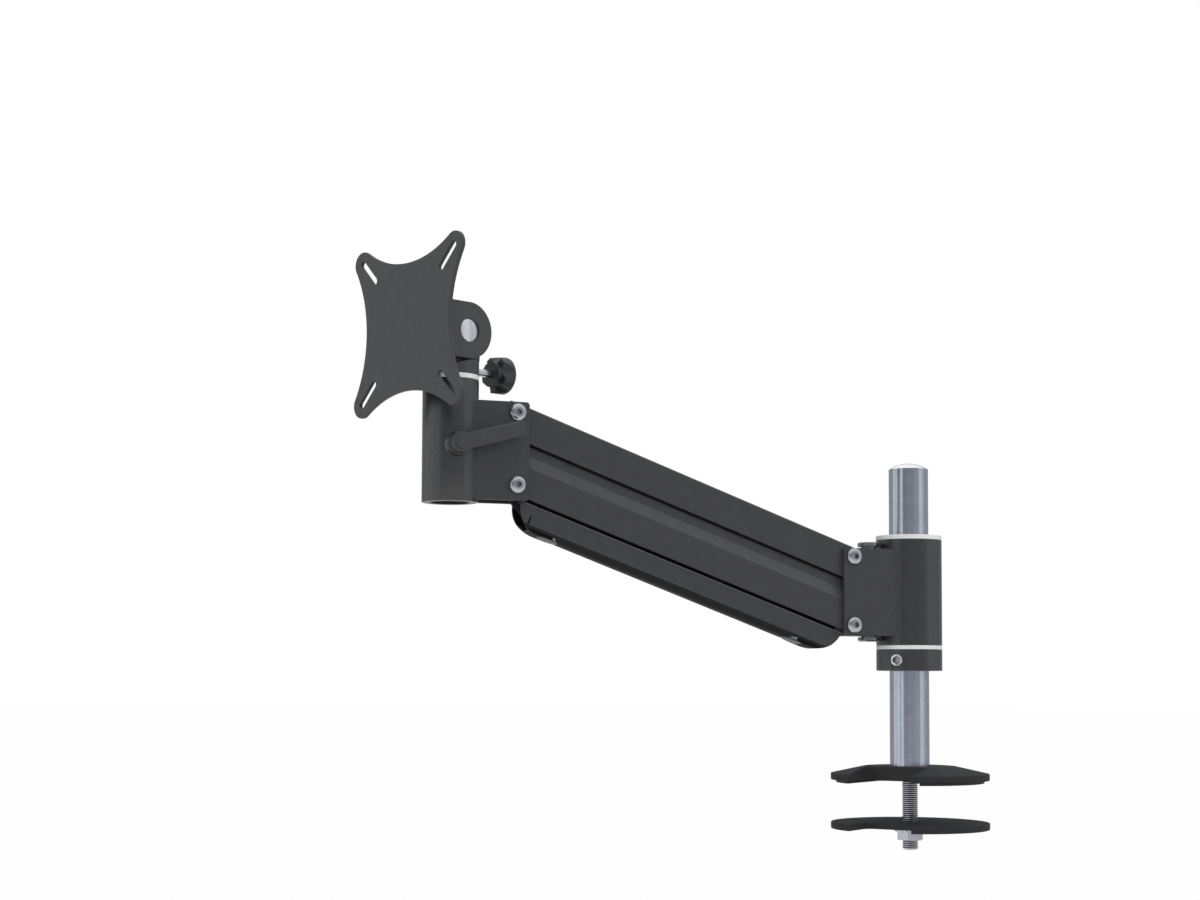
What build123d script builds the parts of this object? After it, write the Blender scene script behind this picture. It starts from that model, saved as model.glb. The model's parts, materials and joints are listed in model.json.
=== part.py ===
from build123d import *
from math import atan2, cos, pi, radians, sin, sqrt, tan
import os

# Monitor arm on a desk clamp, in millimetres and degrees.
# The origin lies on the post axis at the desk surface, +Z runs up the post,
# and the screen plate faces -Y. The arm hangs in the vertical plane that
# ARM_TURN turns away from -Y towards -X.

# ---------------------------------------------------------------- clearances
RUN_FIT = 0.06          # radial clearance of a shaft that turns or slides
SEAT_FIT = 0.02         # radial clearance of parts that are pressed together
PASS_GAP = 0.3          # gap between parts that move past each other

# ------------------------------------------------------------- post and desk
POST_RADIUS = 15.0
POST_WALL = 2.5
POST_LENGTH = 227.0
CAP_DOME = 4.7          # how far the cap stands above the tube
CAP_PLUG = 12.0
FOOT_HEIGHT = 22.0      # threaded plug in the bottom of the post

PAD_THICK = 2.0
PAD_INSET = 4.0
PAD_NOTCH = 10.0        # the pad's own cut-out passes the rod by this much
PLATE_RADIUS = 60.0
PLATE_RIM = 5.0         # edge thickness of both clamp plates
PLATE_RISE = 10.5       # full thickness of the upper plate at the post
PLATE_FLAT = 35.0       # radius of the flat top of the upper plate
NOTCH_WIDTH = 50.0      # cable cut-out in both plates
NOTCH_WALL = 22.0       # from the post axis to the back wall of the cut-out
NOTCH_CORNER = 5.0
NOTCH_TURN = 13.5       # direction of the cut-out, from -Y towards +X

DESK_GAP = 30.0         # from the pad to the lower plate
ROD_RADIUS = 6.0
ROD_EDGE = 1.2
WASHER_RADIUS = 12.0
WASHER_THICK = 2.0
NUT_FLATS = 18.0
NUT_HEIGHT = 6.5
NUT_EDGE = 0.4          # corners turned off the nut's lower face
NUT_SLOPE = 30.0
ROD_TAIL = 7.5          # rod end below the nut

# --------------------------------------------------------- collar and swivel
COLLAR_RADIUS = 25.0
COLLAR_BASE = 84.9      # collar underside above the desk
COLLAR_HEIGHT = 16.3
SET_SCREW_RADIUS = 5.0
SET_SCREW_TURN = 14.3   # set screw direction, from -Y towards +X
SET_SCREW_SOCKET = 5.8  # across the flats
SET_SCREW_SUNK = 0.4
SET_SCREW_HOLLOW = 4.0
FLANGE_LOW = 3.0        # white flange under the swivel tube
FLANGE_HIGH = 3.4       # white flange on top of the swivel tube
SWIVEL_HEIGHT = 80.6
BUSH_WALL = 2.9
BUSH_SLEEVE = 22.0

# ------------------------------------------------------------------ linkage
ARM_TURN = 23.5         # plan angle of the arm from -Y towards -X
ARM_RISE = 19.8         # angle of the arm above the horizontal, at rest
ARM_LENGTH = 283.0      # pivot to pivot
PIVOT_SPACING = 51.5    # upper pivot above lower pivot, at both ends
BASE_REACH = 55.0       # post axis to the pivots
BASE_LOWER = 119.1      # height of the lower pivot at the post
HEAD_REACH = 45.0       # pivots to the head tube axis

SIDE_INNER = 13.1       # half the gap between the side plates
SIDE_PLATE = 3.0
BASE_END = 8.3          # plate beyond its pivots
BASE_ABOVE = 6.4
BASE_BELOW = 8.0
HEAD_END = 9.0
HEAD_ABOVE = 7.6
HEAD_BELOW = 11.3
HEAD_CORNER = 2.5
BASE_CORNER = 2.0

BARREL_RADIUS = 3.0     # barrel that every pivot turns on
SCREW_RADIUS = 2.0
SCREW_DEPTH = 12.0
PIN_HALF = 10.6         # half length of the lower link's pins
PAD_SEAT = 14.1         # where the nylon pads start, from the arm's mid-plane
BUTTON_RADIUS = 6.3
BUTTON_HEIGHT = 3.3
BUTTON_SLOPE = 32.0
SOCKET_FLATS = 3.0
SOCKET_DEPTH = 1.6
BUSH_RING = 1.2         # wall of the nylon ring in each link wall

LINK_HALF = 12.8        # half width of the upper link
LINK_WALL = 1.8
LINK_TOP_WALL = 1.6
LINK_TOP = 7.2          # top face above the upper pivot line
LINK_BOTTOM = 6.2       # bottom edge below the lower pivot line, at rest
GROOVE_DROP = 24.4      # top face to the groove
GROOVE_FLAT = 7.8
GROOVE_SLOPE = 8.2
GROOVE_DEPTH = 3.0
LINK_EDGE = 1.4         # rounding along the top edges
LINK_NOSE = 6.5         # link beyond its pivots
LINK_TAIL = 13.0         # lower corner beyond the pivot at the post
LINK_SHY = 8.0          # lower corner short of the pivot at the head
LINK_CORNER = 4.0

CHANNEL_HALF = 10.2     # half width of the lower link
CHANNEL_WALL = 1.5
CHANNEL_TOP = 8.4       # top edges of its walls, below the lower pivot line
CHANNEL_BOTTOM = 26.9
CHANNEL_ROUND = 7.0
CHANNEL_BASE_END = 5.3  # the channel stops short of its pivots
CHANNEL_HEAD_END = 8.0
CHANNEL_BOW = 20.5      # radius of the rounded ends
TAB_INNER = 7.6         # tabs that carry the pivots, from the arm's mid-plane
TAB_OUTER = 9.2
TAB_RADIUS = 6.5
TAB_NECK = 12.0         # length of the tabs where they enter the channel
TAB_SHORT = 11.0        # depth of the tabs at the channel's end
TAB_DEEP = 18.0
TAB_LONG = 13.0         # length of the tabs inside the channel
SLIT_PLACE = 18.8       # slit in the walls, before the pivot at the head
SLIT_TOP = 16.0
SLIT_LENGTH = 6.0
SLIT_WIDTH = 1.0
CHANNEL_SCREW_RADIUS = 8.5
CHANNEL_SCREW_PLACE = 38.8
CHANNEL_SCREW_SUNK = 0.2
CHANNEL_SCREW_DEPTH = 3.0
CHANNEL_SCREW_EDGE = 0.8

# --------------------------------------------------------------- gas spring
SPINDLE_REACH = 34.7    # post axis to the adjusting spindle
SPINDLE_RADIUS = 4.0
SPINDLE_HEAD_RADIUS = 8.2
SPINDLE_HEAD = 3.2
SPINDLE_SHOULDER = 6.0  # radius of the shoulders that carry the heads
SPINDLE_TOP_GAP = 2.3
SPINDLE_FOOT_GAP = 0.9
TONGUE_HALF = 10.0      # half width of the webs that carry the spindle
TONGUE_THICK = 3.0
TONGUE_REACH = 43.0
LUG_HALF = 7.3          # half width of the inner lugs that carry the lower link
LUG_RADIUS = 6.0
LUG_FOOT = 16.0
ANCHOR_HEIGHT = 142.0   # spring anchor above the desk
ANCHOR_HALF = 5.5
ANCHOR_SIDE = 7.0
TRUNNION_RADIUS = 2.5
SPRING_PIN_PLACE = 230.0  # along the upper link from its post pivot
SPRING_PIN_DROP = 20.0
SPRING_PIN_RADIUS = 3.5
SPRING_RADIUS = 7.0
SPRING_BODY = 150.0
SPRING_EDGE = 1.0
SPRING_ROD_RADIUS = 3.0
EYE_RADIUS = 6.5
EYE_HALF = 4.0
CHEEK_INNER = 6.0       # fork cheeks of the rod end
CHEEK_OUTER = 7.4
CHEEK_HOLE = 5.7        # wide enough for the spring's true arc
CHEEK_RADIUS = 7.6
FORK_BACK = 17.0
FORK_SOLID = 4.0

# -------------------------------------------------------------- head and tilt
HEAD_RADIUS = 20.0
HEAD_BORE = 14.1
HEAD_HEIGHT = 86.9
HEAD_EDGE = 0.8
HEAD_BELOW_PIVOT = 13.1  # head tube below the lower pivots
HEAD_FLANGE = 3.4
HEAD_SLEEVE = 26.0
HEAD_BUSH_WALL = 2.0
SPINDLE_FREE = 22.0     # pan spindle ends this far above the tube's mouth
NECK_RADIUS = 8.0
NECK_HEIGHT = 7.0
CLIP_RADIUS = 13.6
CLIP_THICK = 1.5
CLIP_GROOVE = 10.6
KNUCKLE_STUB = 10.0      # round base of the knuckle
KNUCKLE_HALF = 14.7
KNUCKLE_RADIUS = 17.0
KNUCKLE_FOOT = 13.4
KNUCKLE_ROOT = 2.0      # how deep the ears' block stands in the round base
KNUCKLE_RELIEF = 14.0   # slope of the base below the ears, at the front
KNUCKLE_BACK = 2.0      # where that slope starts, behind the tilt pin
TILT_HEIGHT = 30.4      # tilt pin above the white flange
TILT_PIN_RADIUS = 8.2
TILT_BUSH_WALL = 1.8
EAR_INNER = 15.0
EAR_THICK = 6.0
EAR_RADIUS = 20.0
EAR_EDGE = 0.8
PLATE_FRONT = 40.4      # front face of the screen plate ahead of the pan axis
SCREEN_PLATE = 3.0

SLOT_NEAR = 37.0        # 75 mm pattern
SLOT_FAR = 50.5         # 100 mm pattern
SLOT_WIDTH = 5.0
HORN_RADIUS = 9.1       # round ends of the four horns
HORN_PLACE = 50.8
WAIST_SIDE = 45.9       # half width of the plate at its waists
WAIST_TOP = 45.0
HORN_OPEN = 30.0        # how far the waist curves wrap each horn's round end

LEVER_HEIGHT = 26.8     # lever above the lower pivots
LEVER_TILT = 14.8       # lever above the horizontal, towards the post
LEVER_BOSS = 10.0
LEVER_BOSS_END = 25.2
LEVER_HUB = 7.2
LEVER_HUB_START = 25.5
LEVER_HUB_END = 32.5
LEVER_CAP = 4.6
LEVER_CAP_HEIGHT = 1.2
LEVER_LENGTH = 47.5
LEVER_WIDTH = 10.8
LEVER_NECK = 11.6
LEVER_INNER = 26.0
LEVER_OUTER = 31.5
LEVER_EDGE = 0.8
LEVER_CORNER = 1.2
STUD_RADIUS = 4.0

KNOB_DROP = 25.3        # knob axis below the tilt pin
KNOB_SCREW_RADIUS = 2.9
KNOB_START = 37.0
KNOB_HUB = 9.2
KNOB_HUB_LENGTH = 3.5
KNOB_RADIUS = 13.5
KNOB_WIDTH = 10.5
KNOB_RIM = 2.5          # width of the full round rim beyond the hollows
KNOB_LOBES = 5
KNOB_TURN = -10.0       # direction of the first hollow
KNOB_SCALLOP = 8.0      # radius of the hollows between the lobes
KNOB_EDGE = 1.2

# ------------------------------------------------------------ derived places
along = Vector(-sin(radians(ARM_TURN)), -cos(radians(ARM_TURN)), 0)
across = Vector(cos(radians(ARM_TURN)), -sin(radians(ARM_TURN)), 0)

# In the arm's upright plane x is the distance from the post axis, y the height,
# and the plane's normal points to the far side of the arm.
upright = Plane(origin=(0, 0, 0), x_dir=along, z_dir=across * -1)

base_lower = (BASE_REACH, BASE_LOWER)
base_upper = (BASE_REACH, BASE_LOWER + PIVOT_SPACING)
arm_run = ARM_LENGTH * cos(radians(ARM_RISE))
arm_lift = ARM_LENGTH * sin(radians(ARM_RISE))
head_lower = (base_lower[0] + arm_run, base_lower[1] + arm_lift)
head_upper = (base_upper[0] + arm_run, base_upper[1] + arm_lift)
head_axis = head_lower[0] + HEAD_REACH
link_gap = PIVOT_SPACING * cos(radians(ARM_RISE))

post_foot_z = PAD_THICK + PLATE_RISE
post_top_z = post_foot_z + POST_LENGTH
collar_top_z = COLLAR_BASE + COLLAR_HEIGHT
swivel_foot_z = collar_top_z + FLANGE_LOW
swivel_top_z = swivel_foot_z + SWIVEL_HEIGHT
side_outer = SIDE_INNER + SIDE_PLATE
head_foot_z = head_lower[1] - HEAD_BELOW_PIVOT
head_top_z = head_foot_z + HEAD_HEIGHT
stub_foot_z = head_top_z + HEAD_FLANGE
tilt_z = stub_foot_z + TILT_HEIGHT
knob_z = tilt_z - KNOB_DROP
lever_z = head_lower[1] + LEVER_HEIGHT
lower_plate_z = -DESK_GAP
rod_end_z = lower_plate_z - PLATE_RIM - WASHER_THICK - NUT_HEIGHT - ROD_TAIL


def upright_at(point):
    """The arm's upright plane with its origin moved to (reach, height)."""
    return Plane(
        origin=along * point[0] + Vector(0, 0, point[1]),
        x_dir=along,
        z_dir=across * -1,
    )


def link_plane(point):
    """A side plane through a pivot whose x runs along the raised arm."""
    rise = radians(ARM_RISE)
    return Plane(
        origin=along * point[0] + Vector(0, 0, point[1]),
        x_dir=along * cos(rise) + Vector(0, 0, sin(rise)),
        z_dir=across * -1,
    )


upper_frame = link_plane(base_upper)
lower_frame = link_plane(base_lower)
head_origin = along * head_axis
pan_plane = Plane(origin=head_origin + Vector(0, 0, tilt_z), x_dir=(0, -1, 0), z_dir=(-1, 0, 0))


def section_plane(side, distance):
    """The plane square to a side plane's x, whose x runs across the arm and y up."""
    return Plane(
        origin=side.origin + side.x_dir * distance,
        x_dir=across,
        z_dir=across.cross(side.y_dir),
    )


def finish(part, name):
    """Label a finished piece and write its file."""
    part.label = name
    export_step(part, f"parts/{name}.step")


def notch_cut(depth, bottom):
    """The cable cut-out, cut from the sub-part that is being built."""
    turned = Plane.XY.offset(bottom).rotated((0, 0, NOTCH_TURN))
    with BuildSketch(turned) as opening:
        with Locations((0, -NOTCH_WALL - PLATE_RADIUS)):
            RectangleRounded(NOTCH_WIDTH, 2 * PLATE_RADIUS, NOTCH_CORNER)
    extrude(opening.sketch, amount=depth, mode=Mode.SUBTRACT)


def bore(radius, bottom, depth, centre=(0, 0)):
    """A plain round hole up the post direction."""
    with BuildSketch(Plane.XY.offset(bottom)) as opening:
        with Locations(centre):
            Circle(radius)
    extrude(opening.sketch, amount=depth, mode=Mode.SUBTRACT)


def ring(name, plane, outer, inner, height):
    """A plain tube standing on a plane."""
    with BuildPart() as tube:
        with BuildSketch(plane):
            Circle(outer)
            Circle(inner, mode=Mode.SUBTRACT)
        extrude(amount=height)
    finish(tube.part, name)


os.makedirs("parts", exist_ok=True)

# ------------------------------------------------------------- desk clamp
with BuildPart() as desk_plate:
    with BuildSketch(Plane.XZ):
        with BuildLine():
            Polyline(
                (0, PAD_THICK),
                (PLATE_RADIUS, PAD_THICK),
                (PLATE_RADIUS, PAD_THICK + PLATE_RIM),
                (PLATE_FLAT, post_foot_z),
                (0, post_foot_z),
                close=True,
            )
        make_face()
    revolve(axis=Axis.Z)
    notch_cut(PLATE_RISE, PAD_THICK)
    bore(ROD_RADIUS + SEAT_FIT, PAD_THICK, PLATE_RISE)
finish(desk_plate.part, "desk_plate")

with BuildPart() as desk_pad:
    with BuildSketch():
        Circle(PLATE_RADIUS - PAD_INSET)
        with Locations(Location((0, 0, 0), NOTCH_TURN) * Location((0, PAD_NOTCH - PLATE_RADIUS, 0))):
            RectangleRounded(
                NOTCH_WIDTH + 2 * PAD_INSET, 2 * PLATE_RADIUS, NOTCH_CORNER, mode=Mode.SUBTRACT
            )
    extrude(amount=PAD_THICK)
finish(desk_pad.part, "desk_pad")

with BuildPart() as clamp_rod:
    with BuildSketch(Plane.XY.offset(rod_end_z)):
        Circle(ROD_RADIUS)
    extrude(amount=post_foot_z + FOOT_HEIGHT - rod_end_z)
    chamfer(clamp_rod.edges().group_by(Axis.Z)[0], ROD_EDGE)
finish(clamp_rod.part, "clamp_rod")

with BuildPart() as lower_plate:
    with BuildSketch(Plane.XY.offset(lower_plate_z - PLATE_RIM)):
        Circle(PLATE_RADIUS)
    extrude(amount=PLATE_RIM)
    notch_cut(PLATE_RIM, lower_plate_z - PLATE_RIM)
    bore(ROD_RADIUS + RUN_FIT, lower_plate_z - PLATE_RIM, PLATE_RIM)
finish(lower_plate.part, "lower_plate")

washer_z = lower_plate_z - PLATE_RIM - WASHER_THICK
ring("clamp_washer", Plane.XY.offset(washer_z), WASHER_RADIUS, ROD_RADIUS + RUN_FIT, WASHER_THICK)

with BuildPart() as clamp_nut:
    with BuildSketch(Plane.XY.offset(washer_z - NUT_HEIGHT)):
        RegularPolygon(NUT_FLATS / 2, 6, major_radius=False)
    extrude(amount=NUT_HEIGHT)
    with BuildSketch(Plane.XY.offset(washer_z - NUT_HEIGHT)):
        Circle(NUT_FLATS / 2 / cos(pi / 6) - NUT_EDGE)
    extrude(amount=NUT_HEIGHT, taper=-NUT_SLOPE, mode=Mode.INTERSECT)
    bore(ROD_RADIUS + RUN_FIT, washer_z - NUT_HEIGHT, NUT_HEIGHT)
finish(clamp_nut.part, "clamp_nut")

# ------------------------------------------------------------------- post
ring("post_tube", Plane.XY.offset(post_foot_z), POST_RADIUS, POST_RADIUS - POST_WALL, POST_LENGTH)

post_bore = POST_RADIUS - POST_WALL
with BuildPart() as post_foot:
    with BuildSketch(Plane.XY.offset(post_foot_z)):
        Circle(post_bore - SEAT_FIT)
        Circle(ROD_RADIUS + SEAT_FIT, mode=Mode.SUBTRACT)
    extrude(amount=FOOT_HEIGHT)
finish(post_foot.part, "post_foot")

dome_radius = (POST_RADIUS**2 + CAP_DOME**2) / (2 * CAP_DOME)
with BuildPart() as post_cap:
    with BuildSketch(Plane.XZ):
        with BuildLine():
            Polyline(
                (0, post_top_z + CAP_DOME),
                (0, post_top_z - CAP_PLUG),
                (post_bore - SEAT_FIT, post_top_z - CAP_PLUG),
                (post_bore - SEAT_FIT, post_top_z),
                (POST_RADIUS, post_top_z),
            )
            RadiusArc((POST_RADIUS, post_top_z), (0, post_top_z + CAP_DOME), -dome_radius)
        make_face()
    revolve(axis=Axis.Z)
finish(post_cap.part, "post_cap")

# ----------------------------------------------------------------- collar
screw_z = COLLAR_BASE + COLLAR_HEIGHT / 2
set_screw_plane = Plane(
    origin=(0, 0, screw_z),
    x_dir=(0, 0, 1),
    z_dir=(sin(radians(SET_SCREW_TURN)), -cos(radians(SET_SCREW_TURN)), 0),
)
collar_bore = POST_RADIUS + RUN_FIT
with BuildPart() as height_collar:
    with BuildSketch(Plane.XY.offset(COLLAR_BASE)):
        Circle(COLLAR_RADIUS)
        Circle(collar_bore, mode=Mode.SUBTRACT)
    extrude(amount=COLLAR_HEIGHT)
    with BuildSketch(set_screw_plane.offset(POST_RADIUS)):
        Circle(SET_SCREW_RADIUS)
    extrude(amount=COLLAR_RADIUS, mode=Mode.SUBTRACT)
finish(height_collar.part, "height_collar")

with BuildPart() as collar_screw:
    with BuildSketch(set_screw_plane.offset(collar_bore)):
        Circle(SET_SCREW_RADIUS - SEAT_FIT)
    extrude(amount=COLLAR_RADIUS - collar_bore - SET_SCREW_SUNK)
    with BuildSketch(set_screw_plane.offset(COLLAR_RADIUS - SET_SCREW_SUNK)):
        RegularPolygon(SET_SCREW_SOCKET / 2, 6, major_radius=False)
    extrude(amount=-SET_SCREW_HOLLOW, mode=Mode.SUBTRACT)
finish(collar_screw.part, "collar_screw")

# ----------------------------------------------------------------- swivel
bush_outer = POST_RADIUS + RUN_FIT + BUSH_WALL
ring(
    "swivel_housing",
    Plane.XY.offset(swivel_foot_z),
    COLLAR_RADIUS,
    bush_outer + SEAT_FIT,
    SWIVEL_HEIGHT,
)


def flanged_bush(name, face_z, flange, direction):
    """A bush with its flange outside the tube: direction +1 stands on top of it."""
    with BuildPart() as bush:
        with BuildSketch(Plane.XY.offset(face_z)):
            Circle(COLLAR_RADIUS)
        extrude(amount=flange * direction)
        with BuildSketch(Plane.XY.offset(face_z)):
            Circle(bush_outer)
        extrude(amount=-BUSH_SLEEVE * direction)
        with BuildSketch(Plane.XY.offset(face_z + flange * direction)):
            Circle(POST_RADIUS + RUN_FIT)
        extrude(amount=-(BUSH_SLEEVE + flange) * direction, mode=Mode.SUBTRACT)
    finish(bush.part, name)


flanged_bush("lower_bush", swivel_foot_z, FLANGE_LOW, -1)
flanged_bush("upper_bush", swivel_top_z, FLANGE_HIGH, 1)


def side_plates(name, tube_reach, tube_radius, pivots, end, above, below, corner):
    """Two side plates welded to a round tube, with holes at their two pivots."""
    toward = 1 if pivots[0][0] > tube_reach else -1
    top = pivots[1][1] + above
    bottom = pivots[0][1] - below
    nose = pivots[0][0] + end * toward
    centre = ((tube_reach + nose) / 2, (top + bottom) / 2)
    with BuildPart() as plates:
        with BuildSketch(upright):
            with Locations(centre):
                Rectangle(abs(nose - tube_reach), top - bottom)
        extrude(amount=side_outer, both=True)
        rim = plates.edges().filter_by(Axis(origin=(0, 0, 0), direction=tuple(across)))
        free = rim.sort_by(lambda edge: -toward * (edge.center() - along * tube_reach).dot(along))
        fillet(free[0:2], corner)
        with BuildSketch(upright):
            with Locations(centre):
                Rectangle(2 * abs(nose - tube_reach), 2 * (top - bottom))
        extrude(amount=SIDE_INNER, both=True, mode=Mode.SUBTRACT)
        with BuildSketch(upright):
            with Locations(*pivots):
                Circle(BARREL_RADIUS + SEAT_FIT)
        extrude(amount=side_outer, both=True, mode=Mode.SUBTRACT)
        with BuildSketch(Plane.XY.offset(bottom)):
            with Locations(along * tube_reach):
                Circle(tube_radius)
        extrude(amount=top - bottom, mode=Mode.SUBTRACT)
    finish(plates.part, name)
    return bottom, top


base_foot_z, base_top_z = side_plates(
    "base_side_plates",
    0,
    COLLAR_RADIUS,
    (base_lower, base_upper),
    BASE_END,
    BASE_ABOVE,
    BASE_BELOW,
    BASE_CORNER,
)

with BuildPart() as base_webs:
    for web_z in (base_foot_z, base_top_z - TONGUE_THICK):
        with BuildSketch(Plane.XY.offset(web_z).rotated((0, 0, -90 - ARM_TURN))):
            with Locations((TONGUE_REACH / 2, 0)):
                Rectangle(TONGUE_REACH, 2 * TONGUE_HALF)
            with Locations((SPINDLE_REACH, 0)):
                Circle(SPINDLE_RADIUS + SEAT_FIT, mode=Mode.SUBTRACT)
        extrude(amount=TONGUE_THICK)
    with BuildSketch(upright_at(base_lower)):
        Circle(LUG_RADIUS)
        with Locations((0, -BASE_BELOW / 2)):
            Rectangle(2 * LUG_RADIUS, BASE_BELOW)
        with Locations((-LUG_FOOT / 2, -BASE_BELOW + TONGUE_THICK / 2)):
            Rectangle(LUG_FOOT, TONGUE_THICK)
    extrude(amount=LUG_HALF, both=True)
    with BuildSketch(upright_at(base_lower)):
        Circle(BARREL_RADIUS + SEAT_FIT)
    extrude(amount=LUG_HALF, both=True, mode=Mode.SUBTRACT)
    bore(COLLAR_RADIUS, base_foot_z, base_top_z - base_foot_z)
finish(base_webs.part, "base_webs")

spindle_place = along * SPINDLE_REACH
with BuildPart() as spring_spindle:
    with BuildSketch(Plane.XY.offset(base_foot_z)):
        with Locations(spindle_place):
            Circle(SPINDLE_RADIUS)
    extrude(amount=base_top_z - base_foot_z)
    for face_z, gap in ((base_foot_z, -SPINDLE_FOOT_GAP), (base_top_z, SPINDLE_TOP_GAP)):
        with BuildSketch(Plane.XY.offset(face_z)):
            with Locations(spindle_place):
                Circle(SPINDLE_SHOULDER)
        extrude(amount=gap)
        with BuildSketch(Plane.XY.offset(face_z + gap)):
            with Locations(spindle_place):
                Circle(SPINDLE_HEAD_RADIUS)
        extrude(amount=SPINDLE_HEAD if gap > 0 else -SPINDLE_HEAD)
finish(spring_spindle.part, "spring_spindle")

with BuildPart() as spring_anchor:
    with BuildSketch(upright_at((SPINDLE_REACH, ANCHOR_HEIGHT))):
        Rectangle(2 * ANCHOR_SIDE, 2 * ANCHOR_SIDE)
    extrude(amount=ANCHOR_HALF, both=True)
    with BuildSketch(upright_at((SPINDLE_REACH, ANCHOR_HEIGHT))):
        Circle(TRUNNION_RADIUS)
    extrude(amount=CHEEK_OUTER + PASS_GAP, both=True)
    bore(SPINDLE_RADIUS + SEAT_FIT, base_foot_z, base_top_z - base_foot_z, spindle_place)
finish(spring_anchor.part, "spring_anchor")


def button_head(side, centre, face):
    """A low domed screw head with a hex socket on the plane at `face` across the arm."""
    direction = 1 if face > 0 else -1
    seat = side.offset(face)
    with BuildSketch(seat) as rim:
        with Locations(centre):
            Circle(BUTTON_RADIUS)
    extrude(rim.sketch, amount=BUTTON_HEIGHT * direction, taper=BUTTON_SLOPE)
    with BuildSketch(seat.offset(BUTTON_HEIGHT * direction)) as socket:
        with Locations(centre):
            RegularPolygon(SOCKET_FLATS / 2, 6, major_radius=False)
    extrude(socket.sketch, amount=-SOCKET_DEPTH * direction, mode=Mode.SUBTRACT)


def pivot_bolt(prefix, pivot):
    """A headed barrel right through both side plates, and the screw that closes it."""
    with BuildPart() as barrel:
        button_head(upright, pivot, side_outer)
        with BuildSketch(upright.offset(side_outer)):
            with Locations(pivot):
                Circle(BARREL_RADIUS)
        extrude(amount=-2 * side_outer)
        with BuildSketch(upright.offset(-side_outer)):
            with Locations(pivot):
                Circle(SCREW_RADIUS + SEAT_FIT)
        extrude(amount=SCREW_DEPTH, mode=Mode.SUBTRACT)
    finish(barrel.part, f"{prefix}_pivot_barrel")
    with BuildPart() as screw:
        button_head(upright, pivot, -side_outer)
        with BuildSketch(upright.offset(-side_outer)):
            with Locations(pivot):
                Circle(SCREW_RADIUS)
        extrude(amount=SCREW_DEPTH - PASS_GAP)
    finish(screw.part, f"{prefix}_pivot_screw")


def lower_pivot(prefix, pivot):
    """The lower link's pin, and the screws whose nylon pads steady the upper link."""
    with BuildPart() as pin:
        with BuildSketch(upright):
            with Locations(pivot):
                Circle(BARREL_RADIUS)
        extrude(amount=PIN_HALF, both=True)
    finish(pin.part, f"{prefix}_lower_pin")
    with BuildPart() as screws:
        for side in (1, -1):
            button_head(upright, pivot, side * side_outer)
            with BuildSketch(upright.offset(side * side_outer)):
                with Locations(pivot):
                    Circle(BARREL_RADIUS)
            extrude(amount=side * (PAD_SEAT - side_outer))
    finish(screws.part, f"{prefix}_friction_screws")
    with BuildPart() as pads:
        for side in (1, -1):
            with BuildSketch(upright.offset(side * PAD_SEAT)):
                with Locations(pivot):
                    Circle(BARREL_RADIUS)
            extrude(amount=side * (LINK_HALF + RUN_FIT - PAD_SEAT))
    finish(pads.part, f"{prefix}_friction_pads")


for end_name, lower, upper in (("base", base_lower, base_upper), ("head", head_lower, head_upper)):
    pivot_bolt(end_name, upper)
    lower_pivot(end_name, lower)

# ------------------------------------------------------------- upper link
link_foot = -link_gap - LINK_BOTTOM
groove_top = LINK_TOP - GROOVE_DROP
groove_low = groove_top - GROOVE_FLAT
groove_end = groove_low - GROOVE_SLOPE
link_inner = LINK_HALF - LINK_WALL
groove_half = LINK_HALF - GROOVE_DEPTH
groove_inner = groove_half - LINK_WALL
bush_hole = BARREL_RADIUS + RUN_FIT + BUSH_RING + SEAT_FIT
with BuildPart() as upper_link:
    with BuildSketch(section_plane(upper_frame, -LINK_TAIL - LINK_NOSE)) as cover_section:
        with BuildLine():
            half = Polyline(
                (0, LINK_TOP),
                (LINK_HALF, LINK_TOP),
                (LINK_HALF, groove_top),
                (groove_half, groove_top),
                (groove_half, groove_low),
                (LINK_HALF, groove_end),
                (LINK_HALF, link_foot),
                (link_inner, link_foot),
                (link_inner, groove_end),
                (groove_inner, groove_low),
                (groove_inner, groove_top + LINK_WALL),
                (link_inner, groove_top + LINK_WALL),
                (link_inner, LINK_TOP - LINK_TOP_WALL),
                (0, LINK_TOP - LINK_TOP_WALL),
            )
            mirror(half, about=Plane.YZ)
        make_face()
        corners = cover_section.vertices().group_by(Axis.Y)[-1]
        fillet(corners, LINK_EDGE)
    extrude(amount=ARM_LENGTH + 2 * (LINK_TAIL + LINK_NOSE))
    with BuildSketch(upper_frame) as cover_outline:
        with BuildLine():
            Polyline(
                (-LINK_NOSE, LINK_TOP + LINK_NOSE),
                (-LINK_NOSE, -LINK_TAIL),
                (-LINK_TAIL, link_foot),
                (ARM_LENGTH - LINK_SHY, link_foot),
                (ARM_LENGTH + LINK_NOSE, -LINK_TAIL),
                (ARM_LENGTH + LINK_NOSE, LINK_TOP + LINK_NOSE),
                close=True,
            )
        make_face()
        fillet(cover_outline.vertices().group_by(Axis.Y)[0], LINK_CORNER)
    extrude(amount=side_outer, both=True, mode=Mode.INTERSECT)
    with BuildSketch(upper_frame):
        with Locations((0, 0), (ARM_LENGTH, 0)):
            Circle(bush_hole)
    extrude(amount=side_outer, both=True, mode=Mode.SUBTRACT)
finish(upper_link.part, "upper_link")


def pivot_bushes(name, frame, inner_face, outer_face):
    """Nylon rings in both walls of a link, at both of its pivots."""
    with BuildPart() as bushes:
        for side in (1, -1):
            with BuildSketch(frame.offset(side * inner_face)):
                with Locations((0, 0), (ARM_LENGTH, 0)):
                    Circle(bush_hole - SEAT_FIT)
                    Circle(BARREL_RADIUS + RUN_FIT, mode=Mode.SUBTRACT)
            extrude(amount=side * (outer_face - inner_face))
    finish(bushes.part, name)


pivot_bushes("upper_link_bushes", upper_frame, link_inner, LINK_HALF)

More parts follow.
